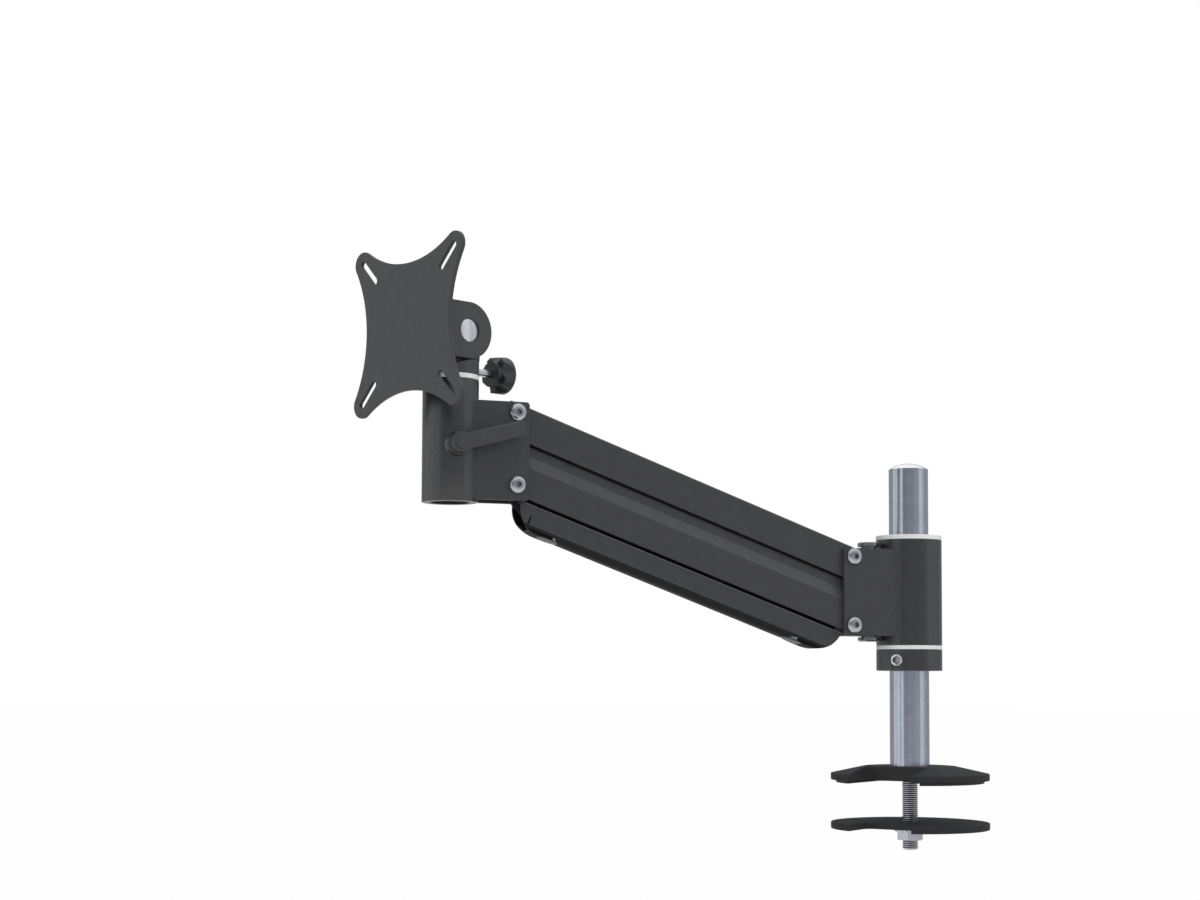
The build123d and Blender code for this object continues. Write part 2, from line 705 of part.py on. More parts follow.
# ------------------------------------------------------------- lower link
channel_inner = CHANNEL_HALF - CHANNEL_WALL
round_inner = CHANNEL_ROUND - CHANNEL_WALL
floor_inner = -CHANNEL_BOTTOM + CHANNEL_WALL
bow_height = CHANNEL_BOW - CHANNEL_BOTTOM
channel_end = ARM_LENGTH - CHANNEL_HEAD_END


def channel_floor(place):
    """The plane on the lower link's underside at a place along it, facing down."""
    return Plane(
        origin=lower_frame.origin + lower_frame.x_dir * place - lower_frame.y_dir * CHANNEL_BOTTOM,
        x_dir=lower_frame.x_dir,
        z_dir=lower_frame.y_dir * -1,
    )


with BuildPart() as lower_link:
    with BuildSketch(section_plane(lower_frame, CHANNEL_BASE_END)):
        with BuildLine() as channel_half:
            Polyline(
                (CHANNEL_HALF, -CHANNEL_BOTTOM + CHANNEL_ROUND),
                (CHANNEL_HALF, -CHANNEL_TOP),
                (channel_inner, -CHANNEL_TOP),
                (channel_inner, floor_inner + round_inner),
            )
            RadiusArc(
                (channel_inner, floor_inner + round_inner),
                (channel_inner - round_inner, floor_inner),
                round_inner,
            )
            Line((channel_inner - round_inner, floor_inner), (0, floor_inner))
            Line((0, -CHANNEL_BOTTOM), (CHANNEL_HALF - CHANNEL_ROUND, -CHANNEL_BOTTOM))
            RadiusArc(
                (CHANNEL_HALF - CHANNEL_ROUND, -CHANNEL_BOTTOM),
                (CHANNEL_HALF, -CHANNEL_BOTTOM + CHANNEL_ROUND),
                -CHANNEL_ROUND,
            )
            mirror(channel_half.line, about=Plane.YZ)
        make_face()
    extrude(amount=channel_end - CHANNEL_BASE_END)
    with BuildSketch(lower_frame):
        with BuildLine():
            Line(
                (CHANNEL_BASE_END + CHANNEL_BOW, -CHANNEL_BOTTOM),
                (channel_end - CHANNEL_BOW, -CHANNEL_BOTTOM),
            )
            RadiusArc(
                (channel_end - CHANNEL_BOW, -CHANNEL_BOTTOM),
                (channel_end, bow_height),
                -CHANNEL_BOW,
            )
            Polyline(
                (channel_end, bow_height),
                (channel_end, 0),
                (CHANNEL_BASE_END, 0),
                (CHANNEL_BASE_END, bow_height),
            )
            RadiusArc(
                (CHANNEL_BASE_END, bow_height),
                (CHANNEL_BASE_END + CHANNEL_BOW, -CHANNEL_BOTTOM),
                -CHANNEL_BOW,
            )
        make_face()
    extrude(amount=side_outer, both=True, mode=Mode.INTERSECT)
    with BuildSketch(lower_frame):
        with Locations((ARM_LENGTH - SLIT_PLACE, -SLIT_TOP - SLIT_LENGTH / 2)):
            Rectangle(SLIT_WIDTH, SLIT_LENGTH)
    extrude(amount=side_outer, both=True, mode=Mode.SUBTRACT)
    for place in (CHANNEL_SCREW_PLACE, ARM_LENGTH - CHANNEL_SCREW_PLACE):
        with BuildSketch(channel_floor(place)):
            Circle(CHANNEL_SCREW_RADIUS + SEAT_FIT)
        extrude(amount=-CHANNEL_SCREW_DEPTH, mode=Mode.SUBTRACT)
    for side in (1, -1):
        with BuildSketch(lower_frame.offset(side * TAB_INNER)):
            with BuildLine():
                Polyline(
                    (-TAB_RADIUS, 0),
                    (CHANNEL_BASE_END + SEAT_FIT, -TAB_SHORT),
                    (CHANNEL_BASE_END + TAB_LONG, -TAB_DEEP),
                    (TAB_NECK, -CHANNEL_TOP),
                    (TAB_RADIUS, 0),
                    close=True,
                )
            make_face()
            with BuildLine():
                Polyline(
                    (ARM_LENGTH + TAB_RADIUS, 0),
                    (channel_end - SEAT_FIT, -TAB_SHORT),
                    (channel_end - TAB_LONG, -TAB_DEEP),
                    (ARM_LENGTH - TAB_NECK, -CHANNEL_TOP),
                    (ARM_LENGTH - TAB_RADIUS, 0),
                    close=True,
                )
            make_face()
            with Locations((0, 0), (ARM_LENGTH, 0)):
                Circle(TAB_RADIUS)
                Circle(bush_hole, mode=Mode.SUBTRACT)
        extrude(amount=side * (TAB_OUTER - TAB_INNER))
finish(lower_link.part, "lower_link")
pivot_bushes("lower_link_bushes", lower_frame, TAB_INNER, TAB_OUTER)

with BuildPart() as lower_link_screws:
    for place in (CHANNEL_SCREW_PLACE, ARM_LENGTH - CHANNEL_SCREW_PLACE):
        with BuildSketch(channel_floor(place).offset(-CHANNEL_SCREW_SUNK)):
            Circle(CHANNEL_SCREW_RADIUS)
        extrude(amount=CHANNEL_SCREW_SUNK - CHANNEL_SCREW_DEPTH)
    low_edges = lower_link_screws.edges().sort_by(Axis(origin=(0, 0, 0), direction=tuple(lower_frame.y_dir)))
    chamfer([low_edges[0]], CHANNEL_SCREW_EDGE)
finish(lower_link_screws.part, "lower_link_screws")

# ------------------------------------------------------------- gas spring
# The spring runs from the anchor on the spindle to a pin inside the upper link.
spring_pin = upper_frame.origin + upper_frame.x_dir * SPRING_PIN_PLACE - upper_frame.y_dir * SPRING_PIN_DROP
anchor_point = along * SPINDLE_REACH + Vector(0, 0, ANCHOR_HEIGHT)
spring_run = anchor_point - spring_pin
spring_length = spring_run.length
spring_side = Plane(origin=spring_pin, x_dir=spring_run.normalized(), z_dir=across * -1)

with BuildPart() as spring_pin_bar:
    with BuildSketch(spring_side):
        Circle(SPRING_PIN_RADIUS)
    extrude(amount=groove_inner - SEAT_FIT, both=True)
finish(spring_pin_bar.part, "spring_pin")

with BuildPart() as spring_cylinder:
    with BuildSketch(section_plane(spring_side, EYE_RADIUS)):
        Circle(SPRING_RADIUS)
    extrude(amount=SPRING_BODY)
    chamfer(spring_cylinder.edges().filter_by(GeomType.CIRCLE), SPRING_EDGE)
    with BuildSketch(spring_side):
        Circle(EYE_RADIUS)
        with Locations((EYE_RADIUS, 0)):
            Rectangle(2 * EYE_RADIUS, EYE_RADIUS)
    extrude(amount=EYE_HALF, both=True)
    with BuildSketch(spring_side):
        Circle(SPRING_PIN_RADIUS + RUN_FIT)
    extrude(amount=EYE_HALF, both=True, mode=Mode.SUBTRACT)
    with BuildSketch(section_plane(spring_side, SPRING_BODY / 2)):
        Circle(SPRING_ROD_RADIUS + RUN_FIT)
    extrude(amount=SPRING_BODY, mode=Mode.SUBTRACT)
finish(spring_cylinder.part, "spring_cylinder")

with BuildPart() as spring_rod:
    with BuildSketch(section_plane(spring_side, SPRING_BODY - EYE_RADIUS)):
        Circle(SPRING_ROD_RADIUS)
    extrude(amount=spring_length - FORK_BACK - SPRING_BODY + EYE_RADIUS)
finish(spring_rod.part, "spring_rod")

# The fork's holes are wide, because this end of the spring moves on a true arc.
with BuildPart() as spring_fork:
    with BuildSketch(spring_side):
        with Locations((spring_length, 0)):
            Circle(CHEEK_RADIUS)
        with Locations((spring_length - FORK_BACK / 2, 0)):
            Rectangle(FORK_BACK, 2 * CHEEK_INNER)
    extrude(amount=CHEEK_OUTER, both=True)
    with BuildSketch(spring_side):
        with Locations((spring_length + CHEEK_RADIUS - FORK_BACK / 2 + FORK_SOLID, 0)):
            Rectangle(FORK_BACK + 2 * CHEEK_RADIUS, 4 * CHEEK_RADIUS)
    extrude(amount=CHEEK_INNER, both=True, mode=Mode.SUBTRACT)
    with BuildSketch(spring_side):
        with Locations((spring_length, 0)):
            Circle(CHEEK_HOLE)
    extrude(amount=CHEEK_OUTER, both=True, mode=Mode.SUBTRACT)
finish(spring_fork.part, "spring_fork")

# -------------------------------------------------------------- head tube
head_foot_plane = Plane(origin=head_origin + Vector(0, 0, head_foot_z))
lever_side = Plane(
    origin=head_origin + Vector(0, 0, lever_z),
    x_dir=along * -cos(radians(LEVER_TILT)) + Vector(0, 0, sin(radians(LEVER_TILT))),
    z_dir=across,
)
with BuildPart() as head_tube:
    with BuildSketch(head_foot_plane):
        Circle(HEAD_RADIUS)
    extrude(amount=HEAD_HEIGHT)
    with BuildSketch(lever_side):
        Circle(LEVER_BOSS)
    extrude(amount=LEVER_BOSS_END)
    with BuildSketch(head_foot_plane):
        Circle(HEAD_BORE)
    extrude(amount=HEAD_HEIGHT, mode=Mode.SUBTRACT)
    with BuildSketch(lever_side):
        Circle(STUD_RADIUS + RUN_FIT)
    extrude(amount=LEVER_BOSS_END, mode=Mode.SUBTRACT)
    chamfer(head_tube.edges().filter_by(GeomType.CIRCLE).group_by(Axis.Z)[0], HEAD_EDGE)
finish(head_tube.part, "head_tube")

side_plates(
    "head_side_plates",
    head_axis,
    HEAD_RADIUS,
    (head_lower, head_upper),
    HEAD_END,
    HEAD_ABOVE,
    HEAD_BELOW,
    HEAD_CORNER,
)

with BuildPart() as head_lug:
    with BuildSketch(upright_at(head_lower)):
        Circle(LUG_RADIUS)
        with Locations((HEAD_REACH / 2, 0)):
            Rectangle(HEAD_REACH, 2 * LUG_RADIUS)
        Circle(BARREL_RADIUS + SEAT_FIT, mode=Mode.SUBTRACT)
    extrude(amount=LUG_HALF, both=True)
    with BuildSketch(head_foot_plane):
        Circle(HEAD_RADIUS)
    extrude(amount=HEAD_HEIGHT, mode=Mode.SUBTRACT)
finish(head_lug.part, "head_lug")

head_sleeve_inner = HEAD_BORE - HEAD_BUSH_WALL
head_top_plane = head_foot_plane.offset(HEAD_HEIGHT)
with BuildPart() as head_bush:
    with BuildSketch(head_top_plane):
        Circle(HEAD_RADIUS)
    extrude(amount=HEAD_FLANGE)
    with BuildSketch(head_top_plane):
        Circle(HEAD_BORE - SEAT_FIT)
    extrude(amount=-HEAD_SLEEVE)
    with BuildSketch(head_top_plane.offset(HEAD_FLANGE)):
        Circle(head_sleeve_inner)
    extrude(amount=-HEAD_FLANGE - HEAD_SLEEVE, mode=Mode.SUBTRACT)
finish(head_bush.part, "head_bush")

# ---------------------------------------------------------- clamping lever
with BuildPart() as lever_stud:
    with BuildSketch(lever_side.offset(head_sleeve_inner + PASS_GAP)):
        Circle(STUD_RADIUS)
    extrude(amount=LEVER_INNER - head_sleeve_inner - PASS_GAP)
finish(lever_stud.part, "lever_stud")

with BuildPart() as clamp_lever:
    with BuildSketch(lever_side.offset(LEVER_INNER)) as blade:
        with BuildLine():
            Polyline(
                (0, -LEVER_NECK / 2),
                (LEVER_LENGTH, -LEVER_WIDTH / 2),
                (LEVER_LENGTH, LEVER_WIDTH / 2),
                (0, LEVER_NECK / 2),
                close=True,
            )
        make_face()
        fillet(blade.vertices().group_by(Axis.X)[-1], LEVER_CORNER)
    extrude(amount=LEVER_OUTER - LEVER_INNER)
    chamfer(clamp_lever.faces().sort_by(Axis(origin=(0, 0, 0), direction=across))[-1].edges(), LEVER_EDGE)
    with BuildSketch(lever_side.offset(LEVER_HUB_START)):
        Circle(LEVER_HUB)
    extrude(amount=LEVER_HUB_END - LEVER_HUB_START)
    with BuildSketch(lever_side.offset(LEVER_HUB_END)):
        Circle(LEVER_CAP)
    extrude(amount=LEVER_CAP_HEIGHT)
    with BuildSketch(lever_side.offset(LEVER_HUB_START)):
        Circle(STUD_RADIUS + SEAT_FIT)
    extrude(amount=LEVER_INNER - LEVER_HUB_START, mode=Mode.SUBTRACT)
finish(clamp_lever.part, "clamp_lever")

# --------------------------------------------------------------- pan head
spindle_foot_z = head_foot_z + SPINDLE_FREE
pan_radius = head_sleeve_inner - RUN_FIT
with BuildPart() as pan_spindle:
    with BuildSketch(Plane(origin=head_origin + Vector(0, 0, spindle_foot_z))):
        Circle(pan_radius)
    extrude(amount=stub_foot_z - spindle_foot_z)
    with BuildSketch(Plane(origin=head_origin + Vector(0, 0, stub_foot_z))):
        Circle(NECK_RADIUS)
    extrude(amount=NECK_HEIGHT)
    with BuildSketch(Plane(origin=head_origin + Vector(0, 0, head_top_z - HEAD_SLEEVE))):
        Circle(pan_radius)
        Circle(CLIP_GROOVE, mode=Mode.SUBTRACT)
    extrude(amount=-CLIP_THICK - SEAT_FIT, mode=Mode.SUBTRACT)
finish(pan_spindle.part, "pan_spindle")

with BuildPart() as pan_clip:
    with BuildSketch(Plane(origin=head_origin + Vector(0, 0, head_top_z - HEAD_SLEEVE))):
        Circle(CLIP_RADIUS)
        Circle(CLIP_GROOVE + SEAT_FIT, mode=Mode.SUBTRACT)
        with Locations((CLIP_RADIUS, 0)):
            Rectangle(CLIP_RADIUS, CLIP_GROOVE, mode=Mode.SUBTRACT)
    extrude(amount=-CLIP_THICK)
finish(pan_clip.part, "pan_clip")

knob_plane = Plane(
    origin=head_origin + Vector(0, 0, knob_z),
    x_dir=(1, 0, 0),
    z_dir=(0, 1, 0),
)
tilt_bush_outer = TILT_PIN_RADIUS + RUN_FIT + TILT_BUSH_WALL
relief_drop = (HEAD_RADIUS + KNUCKLE_BACK) * tan(radians(KNUCKLE_RELIEF))
with BuildPart() as pan_knuckle:
    with BuildSketch(Plane(origin=head_origin + Vector(0, 0, stub_foot_z))):
        Circle(HEAD_RADIUS)
    extrude(amount=KNUCKLE_STUB)
    with BuildSketch(pan_plane) as relief:
        with BuildLine():
            Polyline(
                (-KNUCKLE_BACK, KNUCKLE_STUB - TILT_HEIGHT),
                (HEAD_RADIUS, KNUCKLE_STUB - TILT_HEIGHT - relief_drop),
                (HEAD_RADIUS, KNUCKLE_STUB - TILT_HEIGHT),
                close=True,
            )
        make_face()
    extrude(amount=HEAD_RADIUS, both=True, mode=Mode.SUBTRACT)
    with BuildSketch(pan_plane):
        Circle(KNUCKLE_RADIUS)
        with BuildLine():
            Polyline(
                (-KNUCKLE_FOOT, KNUCKLE_STUB - TILT_HEIGHT - KNUCKLE_ROOT),
                (KNUCKLE_FOOT, KNUCKLE_STUB - TILT_HEIGHT - KNUCKLE_ROOT),
                (KNUCKLE_RADIUS, 0),
                (-KNUCKLE_RADIUS, 0),
                close=True,
            )
        make_face()
    extrude(amount=KNUCKLE_HALF, both=True)
    with BuildSketch(pan_plane):
        Circle(tilt_bush_outer + SEAT_FIT)
    extrude(amount=KNUCKLE_HALF, both=True, mode=Mode.SUBTRACT)
    with BuildSketch(Plane(origin=head_origin + Vector(0, 0, stub_foot_z))):
        Circle(NECK_RADIUS + SEAT_FIT)
    extrude(amount=NECK_HEIGHT, mode=Mode.SUBTRACT)
    with BuildSketch(knob_plane):
        Circle(KNOB_SCREW_RADIUS + RUN_FIT)
    extrude(amount=HEAD_RADIUS, mode=Mode.SUBTRACT)
finish(pan_knuckle.part, "pan_knuckle")

with BuildPart() as tilt_bush:
    with BuildSketch(pan_plane):
        Circle(tilt_bush_outer)
        Circle(TILT_PIN_RADIUS + RUN_FIT, mode=Mode.SUBTRACT)
    extrude(amount=KNUCKLE_HALF, both=True)
finish(tilt_bush.part, "tilt_bush")

# --------------------------------------------------------------- lock knob
with BuildPart() as knob_screw:
    with BuildSketch(knob_plane.offset(NECK_RADIUS + PASS_GAP)):
        Circle(KNOB_SCREW_RADIUS)
    extrude(amount=KNOB_START + KNOB_HUB_LENGTH - NECK_RADIUS - PASS_GAP)
finish(knob_screw.part, "knob_screw")

wheel_plane = knob_plane.offset(KNOB_START + KNOB_HUB_LENGTH)
hollow_slope = atan2(KNOB_RADIUS - KNOB_HUB, KNOB_WIDTH - KNOB_RIM)
with BuildPart() as lock_knob:
    with BuildSketch(wheel_plane):
        Circle(KNOB_RADIUS)
    extrude(amount=KNOB_WIDTH)
    chamfer(lock_knob.faces().sort_by(Axis.Y)[-1].edges(), KNOB_EDGE)
    for lobe in range(KNOB_LOBES):
        turn = radians(KNOB_TURN + lobe * 360 / KNOB_LOBES)
        outward = wheel_plane.x_dir * cos(turn) + wheel_plane.y_dir * sin(turn)
        hollow = Plane(
            origin=wheel_plane.origin + outward * (KNOB_HUB + KNOB_SCALLOP / cos(hollow_slope)),
            z_dir=wheel_plane.z_dir * cos(hollow_slope) + outward * sin(hollow_slope),
        )
        with BuildSketch(hollow):
            Circle(KNOB_SCALLOP)
        extrude(amount=2 * KNOB_WIDTH, both=True, mode=Mode.SUBTRACT)
    with BuildSketch(knob_plane.offset(KNOB_START)):
        Circle(KNOB_HUB)
    extrude(amount=KNOB_HUB_LENGTH)
    with BuildSketch(knob_plane.offset(KNOB_START)):
        Circle(KNOB_SCREW_RADIUS + SEAT_FIT)
    extrude(amount=KNOB_HUB_LENGTH, mode=Mode.SUBTRACT)
finish(lock_knob.part, "lock_knob")

# ------------------------------------------------------------ screen plate
ear_end = PLATE_FRONT - SCREEN_PLATE
with BuildPart() as tilt_ears:
    for side in (1, -1):
        with BuildSketch(pan_plane.offset(side * EAR_INNER)):
            Circle(EAR_RADIUS)
            with Locations((ear_end / 2, 0)):
                Rectangle(ear_end, 2 * EAR_RADIUS)
            Circle(TILT_PIN_RADIUS + SEAT_FIT, mode=Mode.SUBTRACT)
        extrude(amount=side * EAR_THICK)
finish(tilt_ears.part, "tilt_ears")

with BuildPart() as tilt_pin:
    with BuildSketch(pan_plane):
        Circle(TILT_PIN_RADIUS)
    extrude(amount=EAR_INNER + EAR_THICK - PASS_GAP, both=True)
    chamfer(tilt_pin.edges().filter_by(GeomType.CIRCLE), EAR_EDGE)
finish(tilt_pin.part, "tilt_pin")

plate_face = Plane(
    origin=head_origin + Vector(0, -ear_end, tilt_z),
    x_dir=(1, 0, 0),
    z_dir=(0, -1, 0),
)
horn_turn = radians(HORN_OPEN)
horn_far = HORN_PLACE + HORN_RADIUS * cos(horn_turn)
horn_near = HORN_PLACE - HORN_RADIUS * sin(horn_turn)
horn_tip = HORN_PLACE + HORN_RADIUS * sqrt(0.5)
with BuildPart() as screen_plate:
    with BuildSketch(plate_face):
        with BuildLine() as outline:
            TangentArc((0, WAIST_TOP), (horn_near, horn_far), tangent=(1, 0))
            ThreePointArc((horn_near, horn_far), (horn_tip, horn_tip), (horn_far, horn_near))
            TangentArc((WAIST_SIDE, 0), (horn_far, horn_near), tangent=(0, 1))
            mirror(outline.line, about=Plane.YZ)
            mirror(outline.line, about=Plane.XZ)
        make_face()
        for corner in range(4):
            turn = 45 + 90 * corner
            middle = (SLOT_NEAR + SLOT_FAR) / sqrt(2)
            with Locations(Location((middle * cos(radians(turn)), middle * sin(radians(turn)), 0), turn)):
                SlotCenterToCenter((SLOT_FAR - SLOT_NEAR) * sqrt(2), SLOT_WIDTH, mode=Mode.SUBTRACT)
    extrude(amount=SCREEN_PLATE)
finish(screen_plate.part, "screen_plate")
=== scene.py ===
import json
from math import cos, pi, radians, sin, sqrt

import bmesh
import bpy
from mathutils import Matrix, Vector

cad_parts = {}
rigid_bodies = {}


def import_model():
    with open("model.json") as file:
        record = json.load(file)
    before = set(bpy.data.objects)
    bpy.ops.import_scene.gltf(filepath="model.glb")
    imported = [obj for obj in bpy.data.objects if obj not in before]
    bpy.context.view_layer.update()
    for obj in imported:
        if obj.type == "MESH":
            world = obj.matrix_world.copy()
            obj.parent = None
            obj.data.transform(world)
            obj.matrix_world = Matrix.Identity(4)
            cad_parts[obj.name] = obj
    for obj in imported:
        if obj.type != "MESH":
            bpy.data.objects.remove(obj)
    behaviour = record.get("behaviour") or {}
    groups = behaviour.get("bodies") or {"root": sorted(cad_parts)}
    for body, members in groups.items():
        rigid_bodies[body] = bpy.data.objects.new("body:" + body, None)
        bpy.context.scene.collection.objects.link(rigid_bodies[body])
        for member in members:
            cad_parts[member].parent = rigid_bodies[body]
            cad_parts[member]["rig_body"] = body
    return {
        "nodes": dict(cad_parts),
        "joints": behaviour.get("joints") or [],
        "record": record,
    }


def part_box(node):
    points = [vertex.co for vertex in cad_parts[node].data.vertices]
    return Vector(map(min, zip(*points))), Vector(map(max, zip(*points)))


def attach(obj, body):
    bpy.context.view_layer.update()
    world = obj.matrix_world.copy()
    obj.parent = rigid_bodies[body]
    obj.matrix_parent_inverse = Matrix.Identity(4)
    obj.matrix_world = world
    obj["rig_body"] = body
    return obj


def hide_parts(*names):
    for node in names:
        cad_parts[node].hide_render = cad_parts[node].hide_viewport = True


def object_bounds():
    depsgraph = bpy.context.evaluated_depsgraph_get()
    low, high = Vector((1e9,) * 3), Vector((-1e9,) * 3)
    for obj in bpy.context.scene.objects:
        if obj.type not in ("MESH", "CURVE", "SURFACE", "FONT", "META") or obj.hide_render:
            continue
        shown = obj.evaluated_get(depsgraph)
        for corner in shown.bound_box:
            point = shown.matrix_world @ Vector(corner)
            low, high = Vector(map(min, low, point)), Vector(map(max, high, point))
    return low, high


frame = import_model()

cad_low, cad_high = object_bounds()
nodes = frame["nodes"]
MM = 0.001
UPRIGHT = Vector((0, 0, 1))

# ------------------------------------------------------------------ camera
CAMERA_PLACE = (0.9701, -1.2576, 0.0776)
CAMERA_HEADING = 136.235  # level direction of view, from +X towards +Y
CAMERA_PITCH = 3.5
CAMERA_ROLL = 0.225
CAMERA_LENS = 61.43
CAMERA_SHIFT = 0.0867

level = Vector((cos(radians(CAMERA_HEADING)), sin(radians(CAMERA_HEADING)), 0))
look = level * cos(radians(CAMERA_PITCH)) + UPRIGHT * sin(radians(CAMERA_PITCH))
side = look.cross(UPRIGHT).normalized()
above = side.cross(look)
turned_side = side * cos(radians(CAMERA_ROLL)) + above * sin(radians(CAMERA_ROLL))
turned_above = turned_side.cross(look)
camera_data = bpy.data.cameras.new("camera")
camera_data.lens = CAMERA_LENS
camera_data.shift_y = CAMERA_SHIFT
camera = bpy.data.objects.new("camera", camera_data)
bpy.context.scene.collection.objects.link(camera)
camera.matrix_world = Matrix.Translation(CAMERA_PLACE) @ Matrix(
    (turned_side, turned_above, -look)
).transposed().to_4x4()
bpy.context.scene.camera = camera
bpy.context.scene.view_settings.view_transform = "Standard"

# --------------------------------------------------------------- materials
# Every texture is measured in the part's own coordinates, in metres.


def new_material(name):
    """A material with its node tree, its Principled shader and the part's coordinates."""
    made = bpy.data.materials.new(name)
    made.use_nodes = True
    tree = made.node_tree
    place = tree.nodes.new("ShaderNodeTexCoord").outputs["Object"]
    return made, tree, tree.nodes["Principled BSDF"], place


def noise(tree, place, size, detail=2.0, stretch=(1, 1, 1)):
    """Noise whose blotches are about `size` metres across, drawn out by `stretch`."""
    if stretch != (1, 1, 1):
        mapping = tree.nodes.new("ShaderNodeMapping")
        mapping.inputs["Scale"].default_value = stretch
        tree.links.new(place, mapping.inputs["Vector"])
        place = mapping.outputs["Vector"]
    texture = tree.nodes.new("ShaderNodeTexNoise")
    texture.inputs["Scale"].default_value = 1 / size
    texture.inputs["Detail"].default_value = detail
    tree.links.new(place, texture.inputs["Vector"])
    return texture.outputs["Fac"]


def spread(tree, value, low, high):
    """Noise stretched from its usual middle range to the range low..high."""
    ramp = tree.nodes.new("ShaderNodeMapRange")
    ramp.inputs["From Min"].default_value = 0.3
    ramp.inputs["From Max"].default_value = 0.7
    ramp.inputs["To Min"].default_value = low
    ramp.inputs["To Max"].default_value = high
    tree.links.new(value, ramp.inputs["Value"])
    return ramp.outputs["Result"]


def blend_colours(tree, factor, first, second):
    mix = tree.nodes.new("ShaderNodeMix")
    mix.data_type = "RGBA"
    mix.inputs["A"].default_value = (*first, 1)
    mix.inputs["B"].default_value = (*second, 1)
    tree.links.new(factor, mix.inputs["Factor"])
    return mix.outputs["Result"]


def roughen(tree, shader, heights):
    """Chain of bumps: each entry is (height, depth in metres, strength)."""
    normal = None
    for height, depth, strength in heights:
        bump = tree.nodes.new("ShaderNodeBump")
        bump.inputs["Strength"].default_value = strength
        bump.inputs["Distance"].default_value = depth
        tree.links.new(height, bump.inputs["Height"])
        if normal is not None:
            tree.links.new(normal, bump.inputs["Normal"])
        normal = bump.outputs["Normal"]
    tree.links.new(normal, shader.inputs["Normal"])


def scaled(colour, factor):
    return tuple(channel * factor for channel in colour)


def powder_coat(name, colour, rough, grain=0.0006, gloss=0.25, peel_strength=0.35):
    """Fine textured powder coat: orange peel over a fine sand, and a faint mottle."""
    made, tree, shader, place = new_material(name)
    shader.inputs["Specular IOR Level"].default_value = gloss
    mottle = spread(tree, noise(tree, place, 0.006, 4), 0, 1)
    body = blend_colours(tree, mottle, scaled(colour, 0.93), scaled(colour, 1.07))
    tree.links.new(body, shader.inputs["Base Color"])
    tree.links.new(
        spread(tree, noise(tree, place, 0.003, 3), rough - 0.05, rough + 0.05),
        shader.inputs["Roughness"],
    )
    peel = noise(tree, place, grain, 2)
    sand = noise(tree, place, grain / 3, 1)
    roughen(tree, shader, [(peel, 0.00003, peel_strength), (sand, 0.00001, 0.25)])
    return made


def metal(name, colour, rough, grain=0.0004, stretch=(1, 1, 1), lines=0.1):
    """Bare or plated metal with a directional grain and slight clouding."""
    made, tree, shader, place = new_material(name)
    shader.inputs["Metallic"].default_value = 1.0
    cloud = spread(tree, noise(tree, place, 0.009, 3), 0, 1)
    body = blend_colours(tree, cloud, scaled(colour, 0.94), scaled(colour, 1.05))
    tree.links.new(body, shader.inputs["Base Color"])
    drawn = noise(tree, place, grain, 2, stretch)
    tree.links.new(spread(tree, drawn, rough * 0.8, rough * 1.25), shader.inputs["Roughness"])
    roughen(tree, shader, [(drawn, 0.00001, lines)])
    return made


def moulded(name, colour, rough, grain, sheen_depth=0.00002):
    """Moulded plastic, nylon or rubber with a fine surface grain."""
    made, tree, shader, place = new_material(name)
    cloud = spread(tree, noise(tree, place, 0.005, 3), 0, 1)
    body = blend_colours(tree, cloud, scaled(colour, 0.96), scaled(colour, 1.03))
    tree.links.new(body, shader.inputs["Base Color"])
    tree.links.new(
        spread(tree, noise(tree, place, 0.002, 2), rough - 0.04, rough + 0.04),
        shader.inputs["Roughness"],
    )
    roughen(tree, shader, [(noise(tree, place, grain, 2), sheen_depth, 0.4)])
    return made


COAT = (0.0435, 0.044, 0.046)
CHROME = (0.49, 0.52, 0.58)
ZINC = (0.52, 0.54, 0.57)

# Powder coats: the arm's own, and lighter or darker copies of it that are painted light or painted
# shade, one of them glossier, where the light needs it.
coat = powder_coat("black_powder_coat", scaled(COAT, 1.08), 0.42)
# A darker, glossier copy of the coat for the housing, collar and head tube: the gloss is the
# finish, the darker tone is painted shade.
housing_glossy_shade_coat = powder_coat("housing_glossy_painted_shade_coat", scaled(COAT, 0.5), 0.32, 0.0006, 0.75, 0.08)
# A lighter copy of the coat for the groove's slopes that look up: a painted highlight.
groove_highlight_coat = powder_coat("groove_slope_painted_highlight_coat", scaled(COAT, 1.45), 0.4)
# A lighter copy of the coat: painted light on the knuckle, the ears and the lever.
painted_light_coat = powder_coat("fitting_painted_light_coat", scaled(COAT, 1.22), 0.42)
# A darker copy of the coat for the lower link's underside: painted shade.
underside_shade_coat = powder_coat("underside_shade_coat", scaled(COAT, 0.5), 0.6, 0.0008, 0.05)
# A much lighter copy of the coat: a painted highlight on the lower link's top edges.
edge_highlight_coat = powder_coat("link_edge_highlight_coat", scaled(COAT, 3.2), 0.4)
# A darker copy of the coat for the clamp plates: painted shade.
clamp_shade_coat = powder_coat("clamp_painted_shade_coat", scaled(COAT, 0.7), 0.6, 0.0008, 0.05)
# A near-black copy of the coat for strips and sheets that stand in for shadow: painted shade.
painted_shade_coat = powder_coat("strip_painted_shade_coat", scaled(COAT, 0.12), 0.6, 0.0008, 0.05)

# Metals
post_metal = metal("satin_chrome_post", CHROME, 0.2, 0.0005, (0.05, 0.05, 1.0), 0.12)
cap_metal = metal("polished_post_cap", (0.86, 0.88, 0.91), 0.12, 0.0006)
zinc = metal("bright_zinc", ZINC, 0.24)
bright_screw = metal("bright_screw", (0.45, 0.46, 0.48), 0.26, 0.0003)
pin_metal = metal("pin_end_metal", (0.66, 0.68, 0.71), 0.24, 0.0003)
spindle_metal = metal("spindle_head_metal", (0.26, 0.265, 0.275), 0.34, 0.0003)
# A darker metal for the button heads' sockets: painted shade.
socket_shade_metal = metal("socket_shade_metal", (0.24, 0.25, 0.26), 0.4, 0.0003)
